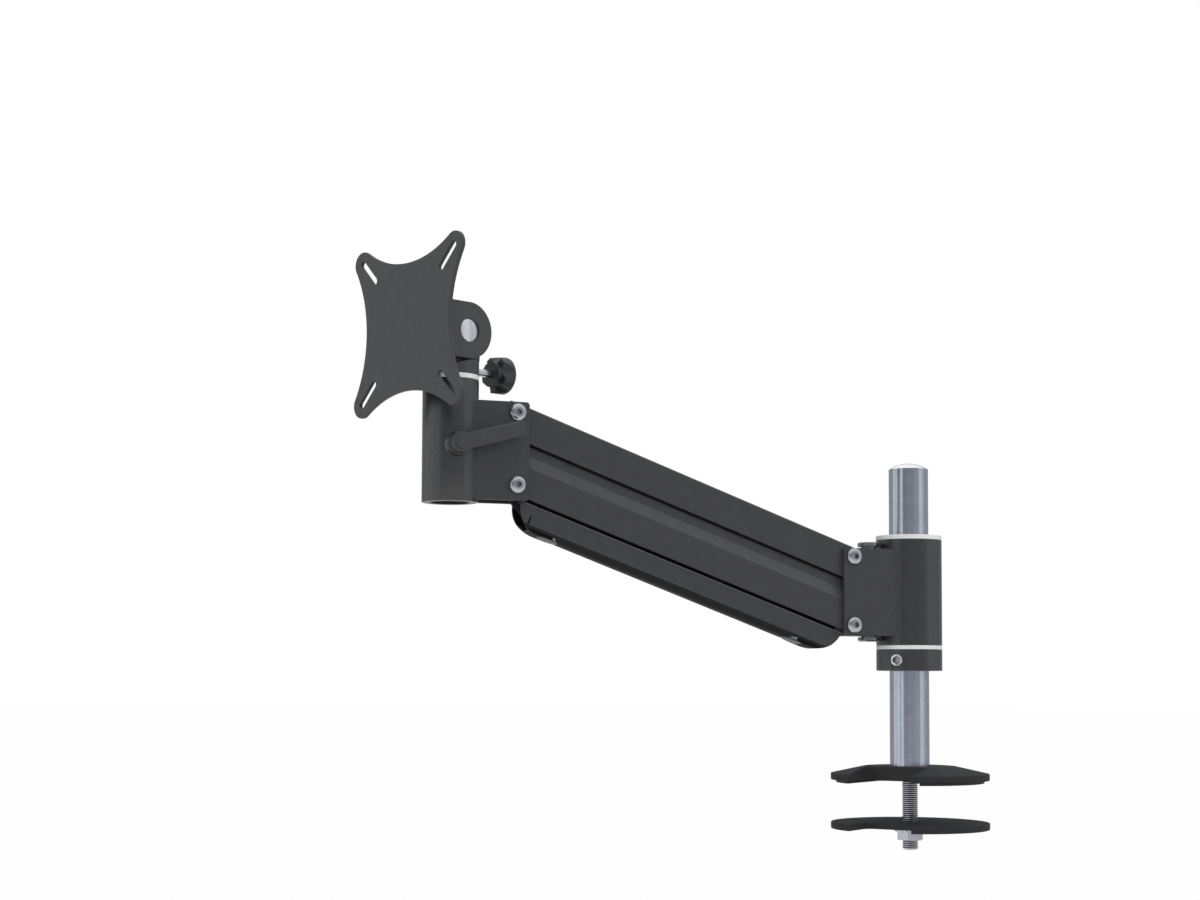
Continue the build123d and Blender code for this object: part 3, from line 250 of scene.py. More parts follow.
# A darker metal: the dark screws' own colour, and painted shade in the collar screw's socket.
dark_screw_and_socket_shade = metal("dark_screw_and_socket_shade_metal", (0.34, 0.35, 0.36), 0.35, 0.0003)
polished = metal("polished_steel", (0.8, 0.81, 0.83), 0.1, 0.0004, (1, 1, 1), 0.04)
# A dark metal for the thread's valleys: painted shade.
thread_valley_shade_metal = metal("thread_valley_painted_shade_metal", (0.13, 0.135, 0.145), 0.4, 0.0003)

# Plastics, rubber and paint
nylon = moulded("white_nylon", (0.72, 0.73, 0.72), 0.36, 0.0009)
knob_plastic = moulded("knob_plastic", (0.022, 0.024, 0.027), 0.45, 0.0005)
rubber = moulded("black_rubber", (0.022, 0.022, 0.023), 0.75, 0.0006, 0.00005)
spring_paint = moulded("spring_paint", (0.02, 0.02, 0.022), 0.3, 0.0008)

SLOT_MATERIAL = {
    "black_steel": coat,
    "black_alloy": coat,
    "bright_post": post_metal,
    "zinc_steel": zinc,
    "dark_screw": dark_screw_and_socket_shade,
    "spring_tube": spring_paint,
    "spring_rod_chrome": polished,
    "white_nylon": nylon,
    "black_plastic": knob_plastic,
    "black_rubber": rubber,
}
slot_of = {part["node"]: part["material_slot"] for part in frame["record"]["subparts"]}
for name, node in nodes.items():
    node.data.materials.clear()
    node.data.materials.append(SLOT_MATERIAL[slot_of[name]])

# ------------------------------------------------- places and directions
joint_at = {joint["name"]: joint for joint in frame["joints"]}


def joint_place(name):
    return Vector(joint_at[name]["pos_m"])


def level_of(place):
    """The same place at the height of the desk."""
    return Vector((place.x, place.y, 0))


arm_axis = Vector(joint_at["lever_turn"]["axis"]).normalized()  # to the arm's near side
arm_level = UPRIGHT.cross(arm_axis)                             # level, from head to post
link_rise = (joint_place("head_level") - joint_place("arm_lift")).normalized()
link_above = arm_axis.cross(link_rise)
link_above *= 1 if link_above.z > 0 else -1
ARM_LENGTH = (joint_place("head_level") - joint_place("arm_lift")).length / MM  # millimetres

# ---------------------------------------------------------- shared shapes
ROUND = 48         # sides of a turned form
SHARP_ANGLE = 30   # an edge over this angle stays sharp on a turned form


def add_piece(name, mesh, body, slot_name, surface, *stands_for):
    """A new piece that rides on a body and may stand for CAD nodes."""
    piece = bpy.data.objects.new(name, mesh)
    bpy.context.scene.collection.objects.link(piece)
    if mesh.materials:
        mesh.materials.clear()
    mesh.materials.append(surface)
    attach(piece, body)
    if stands_for:
        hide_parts(*stands_for)
    return piece


def smooth(mesh):
    mesh.polygons.foreach_set("use_smooth", [True] * len(mesh.polygons))
    mesh.update()


def mesh_from(shape, name, sharp=SHARP_ANGLE):
    bmesh.ops.recalc_face_normals(shape, faces=shape.faces)
    mesh = bpy.data.meshes.new(name)
    shape.to_mesh(mesh)
    shape.free()
    smooth(mesh)
    mesh.set_sharp_from_angle(angle=radians(sharp))
    return mesh


def frame_on(origin, axis):
    """A matrix whose z runs along the axis, with a steady turn about it."""
    axis = axis.normalized()
    helper = UPRIGHT if abs(axis.z) < 0.9 else Vector((1, 0, 0))
    across = helper.cross(axis).normalized()
    up = axis.cross(across)
    return Matrix.Translation(origin) @ Matrix((across, up, axis)).transposed().to_4x4()


def place_on(matrix, reach, angle, height):
    """A place at a distance and an angle round the matrix's z, and a height along it."""
    return matrix @ Vector((reach * cos(angle), reach * sin(angle), height))


def hexagon_radius(flats, angle):
    """Distance from a hexagon's middle to its side, `flats` across."""
    third = pi / 3
    return flats / 2 / cos((angle + third / 2) % third - third / 2)


def turned(rings, matrix, shape):
    """A closed form from rings: (radius or hexagon size, height, is_hexagon).

    Faces between two hexagons take the piece's second material, a darker metal that paints shade
    into the socket.
    """
    rows = []
    for size, height, is_hexagon in rings:
        row = []
        for step in range(ROUND):
            angle = 2 * pi * step / ROUND
            reach = hexagon_radius(size, angle) if is_hexagon else size
            row.append(shape.verts.new(place_on(matrix, reach, angle, height)))
        rows.append(row)
    for index, (first, second) in enumerate(zip(rows, rows[1:])):
        in_socket = rings[index][2] and rings[index + 1][2]
        for step in range(ROUND):
            after = (step + 1) % ROUND
            face = shape.faces.new((first[step], first[after], second[after], second[step]))
            face.material_index = 1 if in_socket else 0
    shape.faces.new(list(reversed(rows[0]))).material_index = 1 if rings[0][2] else 0
    shape.faces.new(rows[-1])


def round_rings(profile):
    """Rings for `turned` from a profile of (radius, height)."""
    return [(radius, height, False) for radius, height in profile]


def ring_of(profile, matrix, shape, steps):
    """A closed profile of (radius, height) turned right round an axis."""
    rows = [
        [
            shape.verts.new(place_on(matrix, reach, 2 * pi * step / steps, height))
            for step in range(steps)
        ]
        for reach, height in profile
    ]
    for first, second in zip(rows, rows[1:] + rows[:1]):
        for step in range(steps):
            after = (step + 1) % steps
            shape.faces.new((first[step], first[after], second[after], second[step]))


def prism(shape, outlines):
    """A closed solid between two outlines of the same number of places."""
    rows = [[shape.verts.new(place) for place in outline] for outline in outlines]
    count = len(rows[0])
    for index in range(count):
        after = (index + 1) % count
        shape.faces.new((rows[0][index], rows[0][after], rows[1][after], rows[1][index]))
    shape.faces.new(rows[0])
    shape.faces.new(list(reversed(rows[1])))


# ------------------------------------------------- CAD shapes with rounded edges
WELD_DISTANCE = 0.002 * MM
FLAT_ANGLE = 0.4       # faces that turn less than this are one flat face
EDGE_ANGLE = 32        # edges over this angle are rounded
GROOVE_ANGLE = 14      # the upper link's groove has gentler edges
ROUNDING_SEGMENTS = 3
FLAT_WEIGHT = 60       # how far large faces lead the shading


def rounded(node, width, surface=None, edge_angle=EDGE_ANGLE):
    """The node's own shape with its sharp edges rounded, in place of the node."""
    mesh = nodes[node].data.copy()
    shape = bmesh.new()
    shape.from_mesh(mesh)
    bmesh.ops.remove_doubles(shape, verts=shape.verts, dist=WELD_DISTANCE)
    bmesh.ops.dissolve_limit(
        shape, angle_limit=radians(FLAT_ANGLE), verts=shape.verts, edges=shape.edges
    )
    shape.to_mesh(mesh)
    shape.free()
    smooth(mesh)
    mesh.set_sharp_from_angle(angle=radians(edge_angle))
    slot = slot_of[node]
    piece = add_piece(
        node + "_rounded", mesh, nodes[node]["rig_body"], slot, surface or SLOT_MATERIAL[slot], node
    )
    bevel = piece.modifiers.new("round", "BEVEL")
    bevel.width = width * MM
    bevel.segments = ROUNDING_SEGMENTS
    bevel.limit_method = "ANGLE"
    bevel.angle_limit = radians(edge_angle)
    bevel.use_clamp_overlap = False
    normals = piece.modifiers.new("even", "WEIGHTED_NORMAL")
    normals.mode = "FACE_AREA_WITH_ANGLE"
    normals.weight = FLAT_WEIGHT
    normals.keep_sharp = True
    return piece


def facing(piece, surface, least, most, across):
    """Give a second surface, painted light or painted shade, to the faces that lean this far up the
    link's own height.
    """
    piece.data.materials.append(surface)
    place = len(piece.data.materials) - 1
    for face in piece.data.polygons:
        up = face.normal.dot(link_above)
        if least < up < most and abs(face.normal.dot(arm_axis)) > across:
            face.material_index = place


for node, width, surface in (
    ("base_side_plates", 0.5, None),
    ("head_side_plates", 0.5, None),
    ("screen_plate", 0.45, None),
    ("lower_bush", 0.25, None),
    ("upper_bush", 0.3, None),
    ("head_bush", 0.3, None),
    ("desk_pad", 0.3, None),
    ("spring_fork", 0.4, None),
    ("clamp_nut", 0.3, None),
    ("clamp_washer", 0.25, None),
    # The housing and collar take the darker, glossier coat, whose darkness is painted shade.
    ("swivel_housing", 0.6, housing_glossy_shade_coat),
    ("height_collar", 0.6, housing_glossy_shade_coat),
    # The knuckle, ears and lever take the lighter coat, which is painted light.
    ("pan_knuckle", 0.6, painted_light_coat),
    ("tilt_ears", 0.5, painted_light_coat),
    ("clamp_lever", 0.35, painted_light_coat),
):
    rounded(node, width, surface)

# Painted light and shade: the groove's slopes that look up are painted lighter as a highlight, and
# the lower link's underside is painted darker as shade.
facing(rounded("upper_link", 0.5, edge_angle=GROOVE_ANGLE), groove_highlight_coat, 0.2, 0.6, 0.7)
facing(rounded("lower_link", 0.4), underside_shade_coat, -1.1, -0.3, -1)

# The desk plate and lower plate take the darker coat: painted shade.
for node, width, surface in (
    ("desk_plate", 0.6, clamp_shade_coat),
    ("lower_plate", 0.6, clamp_shade_coat),
    ("post_cap", 0.4, cap_metal),
):
    rounded(node, width, surface)

# ------------------------------------------------------ button head screws
SIDE_FACE = 16.1 * MM       # outer face of the side plates, from the arm's middle
SCREW_HEAD = 6.3 * MM       # radius
SCREW_HEIGHT = 3.3 * MM
SCREW_SHAFT = 3.0 * MM      # radius
SCREW_POINT = 0.3 * MM
SCREW_FOOT = 0.15 * MM      # the head draws in by this where it meets the plate
SOCKET_FLATS = 3.3 * MM
SOCKET_DEPTH = 1.9 * MM
SOCKET_LIP = 0.25 * MM
SOCKET_FLARE = 0.3 * MM
SOCKET_TAPER = 0.96         # share of its width that the socket keeps at its floor
LAND_SHARE = 0.72           # radius of the flat round the socket, in socket widths
DOME_FOOT = 0.22            # height where the dome starts, as a share of the head's
DOME_STEPS = 8
SIDE_SCREW_LENGTH = 2.0 * MM


def button_rings(length):
    """Outline of a domed button head screw, from the socket floor to the shaft's end."""
    land = SOCKET_FLATS * LAND_SHARE
    rings = [
        (SOCKET_FLATS * SOCKET_TAPER, SCREW_HEIGHT - SOCKET_DEPTH, True),
        (SOCKET_FLATS, SCREW_HEIGHT - SOCKET_LIP, True),
        (SOCKET_FLATS + SOCKET_FLARE, SCREW_HEIGHT, True),
        (land, SCREW_HEIGHT, False),
    ]
    for step in range(1, DOME_STEPS + 1):
        turn = pi / 2 * step / DOME_STEPS
        reach = land + (SCREW_HEAD - land) * sin(turn)
        rings.append((reach, SCREW_HEIGHT * (DOME_FOOT + (1 - DOME_FOOT) * cos(turn)), False))
    return rings + round_rings(
        [
            (SCREW_HEAD, 0.1 * SCREW_HEIGHT),
            (SCREW_HEAD - SCREW_FOOT, 0),
            (SCREW_SHAFT, 0),
            (SCREW_SHAFT, -length + SCREW_POINT),
            (SCREW_SHAFT - SCREW_POINT, -length),
        ]
    )


def side_screws(name, body, pivot, length, stands_for):
    """A button head screw on each outer face of the side plates."""
    shape = bmesh.new()
    for outward in (arm_axis, -arm_axis):
        turned(button_rings(length), frame_on(pivot + outward * SIDE_FACE, outward), shape)
    piece = add_piece(name, mesh_from(shape, name), body, "zinc_steel", bright_screw, *stands_for)
    # The sockets take the darker metal: painted shade.
    piece.data.materials.append(socket_shade_metal)


pivot_drop = (joint_place("arm_lift") - joint_place("lower_link_turn")).z
for end, body, upper, lower in (
    ("base", "swivel", joint_place("arm_lift"), joint_place("lower_link_turn")),
    ("head", "head", joint_place("head_level"), joint_place("head_level") - UPRIGHT * pivot_drop),
):
    side_screws(
        end + "_pivot_bolt", body, upper, SIDE_FACE, (end + "_pivot_barrel", end + "_pivot_screw")
    )
    side_screws(
        end + "_side_screws", body, lower, SIDE_SCREW_LENGTH, (end + "_friction_screws",)
    )

# --------------------------------------------------------------- head tube
TUBE_BORE = 14.1 * MM
TUBE_EDGE = 0.7 * MM
TUBE_SIDES = 96
BOSS_RADIUS = 8.2 * MM
BOSS_START = 18.0 * MM      # inside the tube's wall, from its middle
BOSS_END = 25.2 * MM
BOSS_EDGE = 0.5 * MM
BOSS_SIDES = 64
WELD_SPREAD = 1.2 * MM      # how far the boss's weld spreads on the tube
WELD_MIDDLE = (0.5 * MM, 20.3 * MM)
WELD_END = 21.5 * MM
STUD_BORE = 4.1 * MM


def eased(outer, inner, low, high, edge):
    """Profile of a tube whose outer corners are eased by `edge`."""
    cut = 0.3 * edge
    return [
        (inner, high),
        (inner, low),
        (outer - edge, low),
        (outer - cut, low + cut),
        (outer, low + edge),
        (outer, high - edge),
        (outer - cut, high - cut),
        (outer - edge, high),
    ]


head_middle = level_of(joint_place("pan_turn"))
tube_low, tube_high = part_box("head_tube")
bush_low, bush_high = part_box("head_bush")
tube_radius = (bush_high.x - bush_low.x) / 2
shape = bmesh.new()
ring_of(
    eased(tube_radius, TUBE_BORE, tube_low.z, tube_high.z, TUBE_EDGE),
    frame_on(head_middle, UPRIGHT),
    shape,
    TUBE_SIDES,
)
ring_of(
    [
        (STUD_BORE, BOSS_START),
        (BOSS_RADIUS + WELD_SPREAD, BOSS_START),
        (BOSS_RADIUS + WELD_MIDDLE[0], WELD_MIDDLE[1]),
        (BOSS_RADIUS, WELD_END),
        (BOSS_RADIUS, BOSS_END - BOSS_EDGE),
        (BOSS_RADIUS - BOSS_EDGE, BOSS_END),
        (STUD_BORE, BOSS_END),
    ],
    frame_on(joint_place("lever_turn"), arm_axis),
    shape,
    BOSS_SIDES,
)
mesh = mesh_from(shape, "head_tube_turned")
# The head tube takes the darker, glossier coat too; its darkness is painted shade.
add_piece("head_tube_turned", mesh, "head", "black_alloy", housing_glossy_shade_coat, "head_tube")

# ----------------------------------------------------------- spring spindle
SPINDLE_HEAD = 3.2 * MM
SPINDLE_EDGE = 1.1 * MM
SPINDLE_CHAMFER = 0.8 * MM
SHOULDER_RADIUS = 6.0 * MM
FOOT_SHOULDER = 0.9 * MM
TOP_SHOULDER = 2.3 * MM
SPINDLE_SHAFT = 4.0 * MM    # radius

low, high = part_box("spring_spindle")
radius = (high.x - low.x) / 2
shape = bmesh.new()
turned(
    round_rings(
        [
            (radius - SPINDLE_EDGE, low.z),
            (radius, low.z + SPINDLE_CHAMFER),
            (radius, low.z + SPINDLE_HEAD),
            (SHOULDER_RADIUS, low.z + SPINDLE_HEAD),
            (SHOULDER_RADIUS, low.z + SPINDLE_HEAD + FOOT_SHOULDER),
            (SPINDLE_SHAFT, low.z + SPINDLE_HEAD + FOOT_SHOULDER),
            (SPINDLE_SHAFT, high.z - SPINDLE_HEAD - TOP_SHOULDER),
            (SHOULDER_RADIUS, high.z - SPINDLE_HEAD - TOP_SHOULDER),
            (SHOULDER_RADIUS, high.z - SPINDLE_HEAD),
            (radius, high.z - SPINDLE_HEAD),
            (radius, high.z - SPINDLE_CHAMFER),
            (radius - SPINDLE_EDGE, high.z),
        ]
    ),
    frame_on(level_of((low + high) / 2), UPRIGHT),
    shape,
)
mesh = mesh_from(shape, "spring_spindle_turned")
add_piece("spring_spindle_turned", mesh, "swivel", "zinc_steel", spindle_metal, "spring_spindle")

# ------------------------------------------------- tilt pin with domed ends
PIN_DOME = 0.9 * MM
PIN_RADIUS = 8.2 * MM

low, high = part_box("tilt_pin")
pin_half = (high.x - low.x) / 2
dome = [
    (PIN_RADIUS * share, pin_half - PIN_DOME * share**2)
    for share in (1.0, 0.93, 0.8, 0.62, 0.42, 0.22, 0.1)
]
far_dome = [(reach, -height) for reach, height in reversed(dome)]
shape = bmesh.new()
turned(round_rings(far_dome + dome), frame_on((low + high) / 2, Vector((1, 0, 0))), shape)
mesh = mesh_from(shape, "tilt_pin_turned")
add_piece("tilt_pin_turned", mesh, "tilt", "zinc_steel", pin_metal, "tilt_pin")

# ----------------------------------------------------- the collar's set screw
SET_SCREW_TURN = 14.3       # degrees from -Y towards +X
SET_SCREW_SINK = 0.3 * MM
SET_SCREW_RADIUS = 4.9 * MM
SET_SCREW_LENGTH = 9.0 * MM
SET_SCREW_CHAMFER = (0.5 * MM, 0.6 * MM)
SET_SOCKET_FLOOR = (5.4 * MM, -3.2 * MM)
SET_SOCKET_MOUTH = (5.8 * MM, -0.5 * MM)
SET_RING = ((3.5 * MM, -0.2 * MM), (3.7 * MM, 0))

low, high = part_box("height_collar")
screw_out = Vector((sin(radians(SET_SCREW_TURN)), -cos(radians(SET_SCREW_TURN)), 0))
screw_face = screw_out * ((high.x - low.x) / 2 - SET_SCREW_SINK) + UPRIGHT * ((low.z + high.z) / 2)
shape = bmesh.new()
turned(
    [(*SET_SOCKET_FLOOR, True), (*SET_SOCKET_MOUTH, True)]
    + round_rings(
        [
            *SET_RING,
            (SET_SCREW_RADIUS - SET_SCREW_CHAMFER[0], 0),
            (SET_SCREW_RADIUS, -SET_SCREW_CHAMFER[1]),
            (SET_SCREW_RADIUS, -SET_SCREW_LENGTH),
        ]
    ),
    frame_on(screw_face, screw_out),
    shape,
)
mesh = mesh_from(shape, "collar_screw_turned")
set_screw = add_piece(
    "collar_screw_turned", mesh, "collar", "dark_screw", pin_metal, "collar_screw"
)
# The socket takes the darker metal: painted shade.
set_screw.data.materials.append(dark_screw_and_socket_shade)

# -------------------------------------------- strips of painted highlight and painted shade on the links
# Sizes here are millimetres along a link, above its pivots and across the arm.
SHADOW_STRIP_TOP = -17.25
SHADOW_STRIP_BOTTOM = SHADOW_STRIP_TOP - 1.35
SHADOW_STRIP_BASE_END = -7.0
SHADOW_STRIP_HEAD_END = ARM_LENGTH + 5.0
SHADOW_STRIP_ACROSS = (9.6, 11.4)
HIGHLIGHT_STRIP_TOP = -8.45
HIGHLIGHT_STRIP_BOTTOM = -8.95
HIGHLIGHT_STRIP_BASE_END = 4.0
HIGHLIGHT_STRIP_HEAD_END = ARM_LENGTH - 6.0
HIGHLIGHT_STRIP_ACROSS = (10.0, 10.27)
SHADE_SHEET_BASE_END = 5.6
SHADE_SHEET_HEAD_END = ARM_LENGTH - 8.3
SHADE_SHEET_ACROSS = (8.25, 8.72)
SHADE_SHEET_TOP = -3.0
SHADE_SHEET_NOSE = 5.5        # how far the top runs past the bowed end
SHADE_SHEET_NECK = 8          # how far the top runs into the link
SHADE_SHEET_SHOULDER = -9.0   # height of its inner end
SHADE_SHEET_LENGTH = 32
SHADE_SHEET_FLOOR = -26.6
BOW_TOP = -8.0
BOW = 20.2              # radius of the lower link's bowed ends
BOW_STEPS = 8


def on_link(pivot, along_link, above_link, across_link):
    """A place given in millimetres from a pivot, in the link's own directions."""
    return pivot + (
        link_rise * along_link + link_above * above_link + arm_axis * across_link
    ) * MM


def link_strips(name, body, pivot, outlines, across, surface):
    """Flat strips on both sides of a link, each an outline of (along, above)."""
    shape = bmesh.new()
    for outline in outlines:
        for sign in (1, -1):
            prism(
                shape,
                [
                    [on_link(pivot, *point, sign * distance) for point in outline]
                    for distance in across
                ],
            )
    add_piece(name, mesh_from(shape, name), body, "black_steel", surface)


def rectangle(first, last, top, bottom):
    return [(first, top), (last, top), (last, bottom), (first, bottom)]


def shade_sheet_outline(end_place, sense):
    """Outline of a dark sheet of painted shade: it follows the bowed end, and `sense` points into
    the link.
    """
    bowed = []
    for step in range(BOW_STEPS + 1):
        turn = radians(90 * step / BOW_STEPS)
        along = end_place + sense * BOW * (1 - cos(turn))
        bowed.append((along, SHADE_SHEET_FLOOR + BOW * (1 - sin(turn))))
    return (
        [(end_place - sense * SHADE_SHEET_NOSE, SHADE_SHEET_TOP), (end_place, BOW_TOP)]
        + bowed
        + [
            (end_place + sense * SHADE_SHEET_LENGTH, SHADE_SHEET_FLOOR),
            (end_place + sense * SHADE_SHEET_LENGTH, SHADE_SHEET_SHOULDER),
            (end_place + sense * SHADE_SHEET_NECK, SHADE_SHEET_TOP),
        ]
    )


# A thin dark strip under the upper link's side ridge is painted shadow.
link_strips(
    "upper_link_shadow_strip",
    "upper_arm",
    joint_place("arm_lift"),
    [rectangle(SHADOW_STRIP_BASE_END, SHADOW_STRIP_HEAD_END, SHADOW_STRIP_TOP, SHADOW_STRIP_BOTTOM)],
    SHADOW_STRIP_ACROSS,
    painted_shade_coat,
)
# A thin bright strip along the lower link's two top edges is a painted highlight.
link_strips(
    "lower_link_edge_highlights",
    "lower_arm",
    joint_place("lower_link_turn"),
    [rectangle(HIGHLIGHT_STRIP_BASE_END, HIGHLIGHT_STRIP_HEAD_END, HIGHLIGHT_STRIP_TOP, HIGHLIGHT_STRIP_BOTTOM)],
    HIGHLIGHT_STRIP_ACROSS,
    edge_highlight_coat,
)
# Dark sheets inside the lower link's two ends are painted shade.
link_strips(
    "lower_link_shade_sheets",
    "lower_arm",
    joint_place("lower_link_turn"),
    [shade_sheet_outline(SHADE_SHEET_BASE_END, 1), shade_sheet_outline(SHADE_SHEET_HEAD_END, -1)],
    SHADE_SHEET_ACROSS,
    painted_shade_coat,
)

# ------------------------------------------- plugs in the lower link's floor
PLUG_PLACE = 38.8           # millimetres from each pivot
PLUG_FACE = -26.9           # millimetres above the pivots
PLUG_RADIUS = 8.5 * MM
RIM_LOW = 1.35 * MM         # the bright rim, from the plug's face
RIM_HIGH = 3.0 * MM


def plugs(name, slot_name, surface, profile, *stands_for):
    """The same turned form at both plugs."""
    shape = bmesh.new()
    for place in (PLUG_PLACE, ARM_LENGTH - PLUG_PLACE):
        centre = on_link(joint_place("lower_link_turn"), place, PLUG_FACE, 0)
        turned(round_rings(profile), frame_on(centre, link_above), shape)
    add_piece(name, mesh_from(shape, name), "lower_arm", slot_name, surface, *stands_for)


plugs(
    "lower_link_plug_rims",
    "zinc_steel",
    zinc,
    [(PLUG_RADIUS, RIM_HIGH), (PLUG_RADIUS, RIM_LOW)],
    "lower_link_screws",
)
plugs(
    "lower_link_plugs",
    "black_steel",
    coat,
    [
        (PLUG_RADIUS - 0.9 * MM, 0.2 * MM),
        (PLUG_RADIUS - 0.2 * MM, 0.5 * MM),
        (PLUG_RADIUS + 0.02 * MM, 1.4 * MM),
        (PLUG_RADIUS - 0.3 * MM, 1.5 * MM),
    ],
)

# ------------------------------------------------------------- threaded rod
THREAD_PITCH = 1.5 * MM
THREAD_TOP = 4.0 * MM
THREAD_DEPTH = 0.55 * THREAD_PITCH
THREAD_ANGLE = 50           # an edge over this angle stays sharp on the thread
CORE_DEPTH = 0.56 * THREAD_PITCH
ROD_CHAMFER = 1.2 * MM
ROD_SHANK = 4.5 * MM        # height where the plain shank starts
TIP_INSET = 1.0 * MM        # the core's pointed end
TIP_HEIGHT = 0.8 * MM


def threaded(radius, start, end, matrix, shape):
    """A helical thread with flat crests; its valleys take the second material, a darker metal that
    paints shade into them.
    """
    root = radius - THREAD_DEPTH
    profile = [(0.0, radius), (0.34, radius), (0.55, root), (0.75, root)]
    turns = int((end - start) / THREAD_PITCH) + 2
    rows = []
    for turn in range(turns):
        for share, reach in profile:
            row = []
            for step in range(ROUND):
                height = start + (turn - 1 + share + step / ROUND) * THREAD_PITCH
                height = min(max(height, start), end)
                angle = 2 * pi * step / ROUND
                row.append(shape.verts.new(place_on(matrix, reach, angle, height)))
            rows.append(row)
    per_turn = len(profile)
    for index, (row, upper) in enumerate(zip(rows, rows[1:])):
        made = [
            shape.faces.new((row[step], row[step + 1], upper[step + 1], upper[step]))
            for step in range(ROUND - 1)
        ]
        if index + per_turn + 1 < len(rows):
            next_row = rows[index + per_turn]
            next_upper = rows[index + per_turn + 1]
            made.append(shape.faces.new((row[-1], next_row[0], next_upper[0], upper[-1])))
        for face in made:
            face.material_index = 0 if index % per_turn == 0 else 1


low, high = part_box("clamp_rod")
rod_radius = (high.x - low.x) / 2
core = rod_radius - CORE_DEPTH
upright = frame_on(Vector((0, 0, 0)), UPRIGHT)
shape = bmesh.new()
threaded(rod_radius, low.z + ROD_CHAMFER, THREAD_TOP, upright, shape)
turned(
    round_rings(
        [
            (core - TIP_INSET, low.z),
            (core, low.z + TIP_HEIGHT),
            (core, ROD_SHANK),
            (rod_radius, ROD_SHANK),
            (rod_radius, high.z),
        ]
    ),
    upright,
    shape,
)
mesh = mesh_from(shape, "clamp_rod_threaded", THREAD_ANGLE)
rod = add_piece("clamp_rod_threaded", mesh, "mast", "zinc_steel", zinc, "clamp_rod")
# The thread's valleys take the dark metal: painted shade.
rod.data.materials.append(thread_valley_shade_metal)

# ------------------------------------------------------------- weld fillets
HOUSING_RADIUS = 25.0 * MM
HEAD_TUBE_RADIUS = 20.0 * MM
HOUSING_FILLET = 2.2 * MM
HEAD_FILLET = 1.8 * MM
FILLET_STEPS = 8
FILLET_ROOT = 0.5 * MM      # how deep a bead reaches into the metal
FILLET_INSET = 0.6 * MM     # how far a bead stops short of the plates' ends


def fillet_outline(radius, size):
    """A concave bead between a tube and a side plate: (towards the plate, across)."""
    reach = sqrt((radius + size) ** 2 - (SIDE_FACE + size) ** 2)
    middle = Vector((reach, SIDE_FACE + size))
    touch = middle * (radius / (radius + size))
    start = Vector((reach, SIDE_FACE))
    arc = []
    for step in range(FILLET_STEPS + 1):
        share = step / FILLET_STEPS
        chord = (start - middle).lerp(touch - middle, share).normalized() * size
        arc.append(middle + chord)
    root = Vector((sqrt(radius**2 - SIDE_FACE**2) - FILLET_ROOT, SIDE_FACE - FILLET_ROOT))
    return arc + [root]


def weld_fillets(name, body, plates, centre, radius, toward, size):
    """Concave beads where two side plates meet a round tube."""
    low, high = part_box(plates)
    shape = bmesh.new()
    for sign in (1, -1):
        prism(
            shape,
            [
                [
                    centre + toward * point.x + arm_axis * (sign * point.y) + UPRIGHT * height
                    for point in fillet_outline(radius, size)
                ]
                for height in (low.z + FILLET_INSET, high.z - FILLET_INSET)
            ],
        )
    add_piece(name, mesh_from(shape, name), body, "black_steel", coat)


weld_fillets(
    "base_weld_fillets",
    "swivel",
    "base_side_plates",
    Vector((0, 0, 0)),
    HOUSING_RADIUS,
    -arm_level,
    HOUSING_FILLET,
)
weld_fillets(
    "head_weld_fillets",
    "head",
    "head_side_plates",
    head_middle,
    HEAD_TUBE_RADIUS,
    arm_level,
    HEAD_FILLET,
)

# ------------------------------------------------------ floor and background
FLOOR_DROP = 0.20       # metres below the part
FLOOR_SIZE = 40
FLOOR_GREY = 0.6
FLOOR_WHITE = 0.985     # the rest of the floor's look is its shaded surface
WORLD_FILL = 0.55
middle = (cad_low + cad_high) / 2


def stage_material(name, build):
    """A material of the stage, whose surface `build` makes in its empty node tree."""
    made = bpy.data.materials.new(name)
    made.use_nodes = True
    tree = made.node_tree
    tree.nodes.clear()
    output = tree.nodes.new("ShaderNodeOutputMaterial")
    tree.links.new(build(tree), output.inputs["Surface"])
    return made


def larger(tree, first, second):
    """The larger of two values."""
    node = tree.nodes.new("ShaderNodeMath")
    node.operation = "MAXIMUM"
    tree.links.new(first, node.inputs[0])
    tree.links.new(second, node.inputs[1])
    return node.outputs[0]


def seen_directly(tree):
    """1 for rays that come from the camera, a reflection or a transmission."""
    path = tree.nodes.new("ShaderNodeLightPath").outputs
    seen = larger(tree, path["Is Camera Ray"], path["Is Glossy Ray"])
    return larger(tree, seen, path["Is Transmission Ray"])


def floor_shader(tree):
    """Pale floor that shows as white and keeps the object's shadow."""
    diffuse = tree.nodes.new("ShaderNodeBsdfDiffuse")
    diffuse.inputs["Color"].default_value = (FLOOR_GREY, FLOOR_GREY, FLOOR_GREY, 1)
    white = tree.nodes.new("ShaderNodeEmission")
    share = tree.nodes.new("ShaderNodeMath")
    share.operation = "MULTIPLY"
    share.inputs[1].default_value = FLOOR_WHITE
    tree.links.new(seen_directly(tree), share.inputs[0])
    mix = tree.nodes.new("ShaderNodeMixShader")
    tree.links.new(share.outputs[0], mix.inputs["Fac"])
    tree.links.new(diffuse.outputs[0], mix.inputs[1])
    tree.links.new(white.outputs[0], mix.inputs[2])
    return mix.outputs[0]


def flat_panel(name, centre, width, height, facing_to, surface):
    """A stage panel whose front faces along `facing_to`."""
    matrix = frame_on(centre, facing_to)
    corners = [(-1, -1), (1, -1), (1, 1), (-1, 1)]
    places = [matrix @ Vector((x * width / 2, y * height / 2, 0)) for x, y in corners]
    mesh = bpy.data.meshes.new(name)
    mesh.from_pydata(places, [], [(0, 1, 2, 3)])
    mesh.materials.append(surface)
    panel = bpy.data.objects.new(name, mesh)
    bpy.context.scene.collection.objects.link(panel)
    return panel


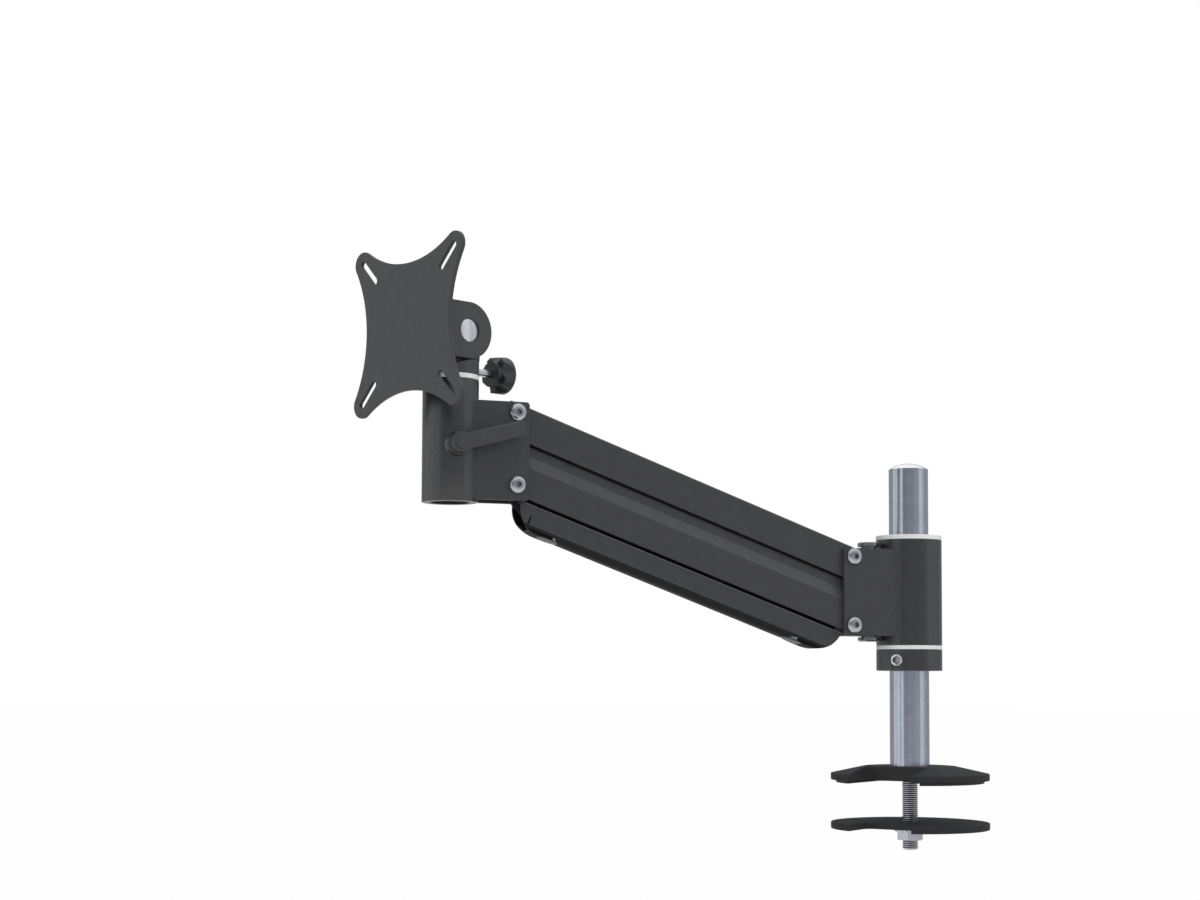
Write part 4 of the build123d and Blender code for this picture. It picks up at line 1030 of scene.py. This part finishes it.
flat_panel(
    "floor",
    Vector((middle.x, middle.y, cad_low.z - FLOOR_DROP)),
    FLOOR_SIZE,
    FLOOR_SIZE,
    UPRIGHT,
    stage_material("pale_floor", floor_shader),
)

world = bpy.data.worlds.new("studio")
bpy.context.scene.world = world
world.use_nodes = True
sky = world.node_tree
background = sky.nodes["Background"]
background.inputs["Color"].default_value = (1, 1, 1, 1)
strength = sky.nodes.new("ShaderNodeMix")
strength.inputs["A"].default_value = WORLD_FILL
strength.inputs["B"].default_value = 1.0
sky.links.new(seen_directly(sky), strength.inputs["Factor"])
sky.links.new(strength.outputs["Result"], background.inputs["Strength"])

# ---------------------------------------------------- reflections and lamps
# Bearings are degrees turned from the camera's side, to the right.
CARD_DISTANCE = 2.4
CARD_HEIGHT = 2.6
CARD_RISE = 0.1
toward_camera = (Vector(CAMERA_PLACE) - middle).normalized()
toward_camera.z = 0
toward_camera.normalize()


def outward(bearing):
    return Matrix.Rotation(radians(bearing), 3, "Z") @ toward_camera


def card(name, first, last, tone):
    """A panel that only reflections see, between two bearings."""

    def shader(tree):
        glow = tree.nodes.new("ShaderNodeEmission")
        glow.inputs["Color"].default_value = (*tone, 1)
        return glow.outputs[0]

    half = radians((last - first) / 2)
    out = outward((first + last) / 2)
    made = flat_panel(
        name,
        middle + out * CARD_DISTANCE + UPRIGHT * CARD_RISE,
        2 * CARD_DISTANCE * sin(half) / cos(half),
        CARD_HEIGHT,
        -out,
        stage_material(name, shader),
    )
    made.visible_camera = False
    made.visible_diffuse = False
    made.visible_shadow = False
    made.visible_transmission = False


card("front_card", -40, -10, (0.28, 0.29, 0.32))
card("front_middle", -10, 30, (0.34, 0.35, 0.38))
card("front_right", 30, 62, (0.42, 0.43, 0.46))
card("left_glow", -51, -40, (1.15, 1.17, 1.22))
card("left_inner", -61, -51, (0.42, 0.43, 0.46))
card("left_card", -86, -61, (0.9, 0.92, 0.98))
card("left_gap", -101, -86, (0.7, 0.71, 0.75))
card("left_line", -107, -101, (1.35, 1.37, 1.42))
card("right_card", 62, 86, (0.85, 0.87, 0.91))
card("right_gap", 86, 96, (0.45, 0.46, 0.49))
card("right_line", 96, 101, (1.1, 1.12, 1.17))
card("behind_right", 101, 175, (0.4, 0.41, 0.44))
card("behind_left", 175, 253, (0.4, 0.41, 0.44))


def soft_box(name, bearing, height, distance, size, power):
    """An area light aimed at the arm, which reflections don't see."""
    place = middle + outward(bearing) * distance + UPRIGHT * height
    data = bpy.data.lights.new(name, "AREA")
    data.shape = "RECTANGLE"
    data.size, data.size_y = size
    data.energy = power
    lamp = bpy.data.objects.new(name, data)
    bpy.context.scene.collection.objects.link(lamp)
    lamp.matrix_world = frame_on(place, place - middle)
    lamp.visible_glossy = False


soft_box("top_light", 20, 1.6, 0.5, (1.6, 1.6), 8)
soft_box("left_strip", -62, 0.35, 1.6, (0.5, 1.6), 9)
soft_box("right_strip", 80, 0.35, 1.6, (0.5, 1.6), 8)
soft_box("front_fill", 12, 0.5, 2.0, (1.6, 1.2), 9)
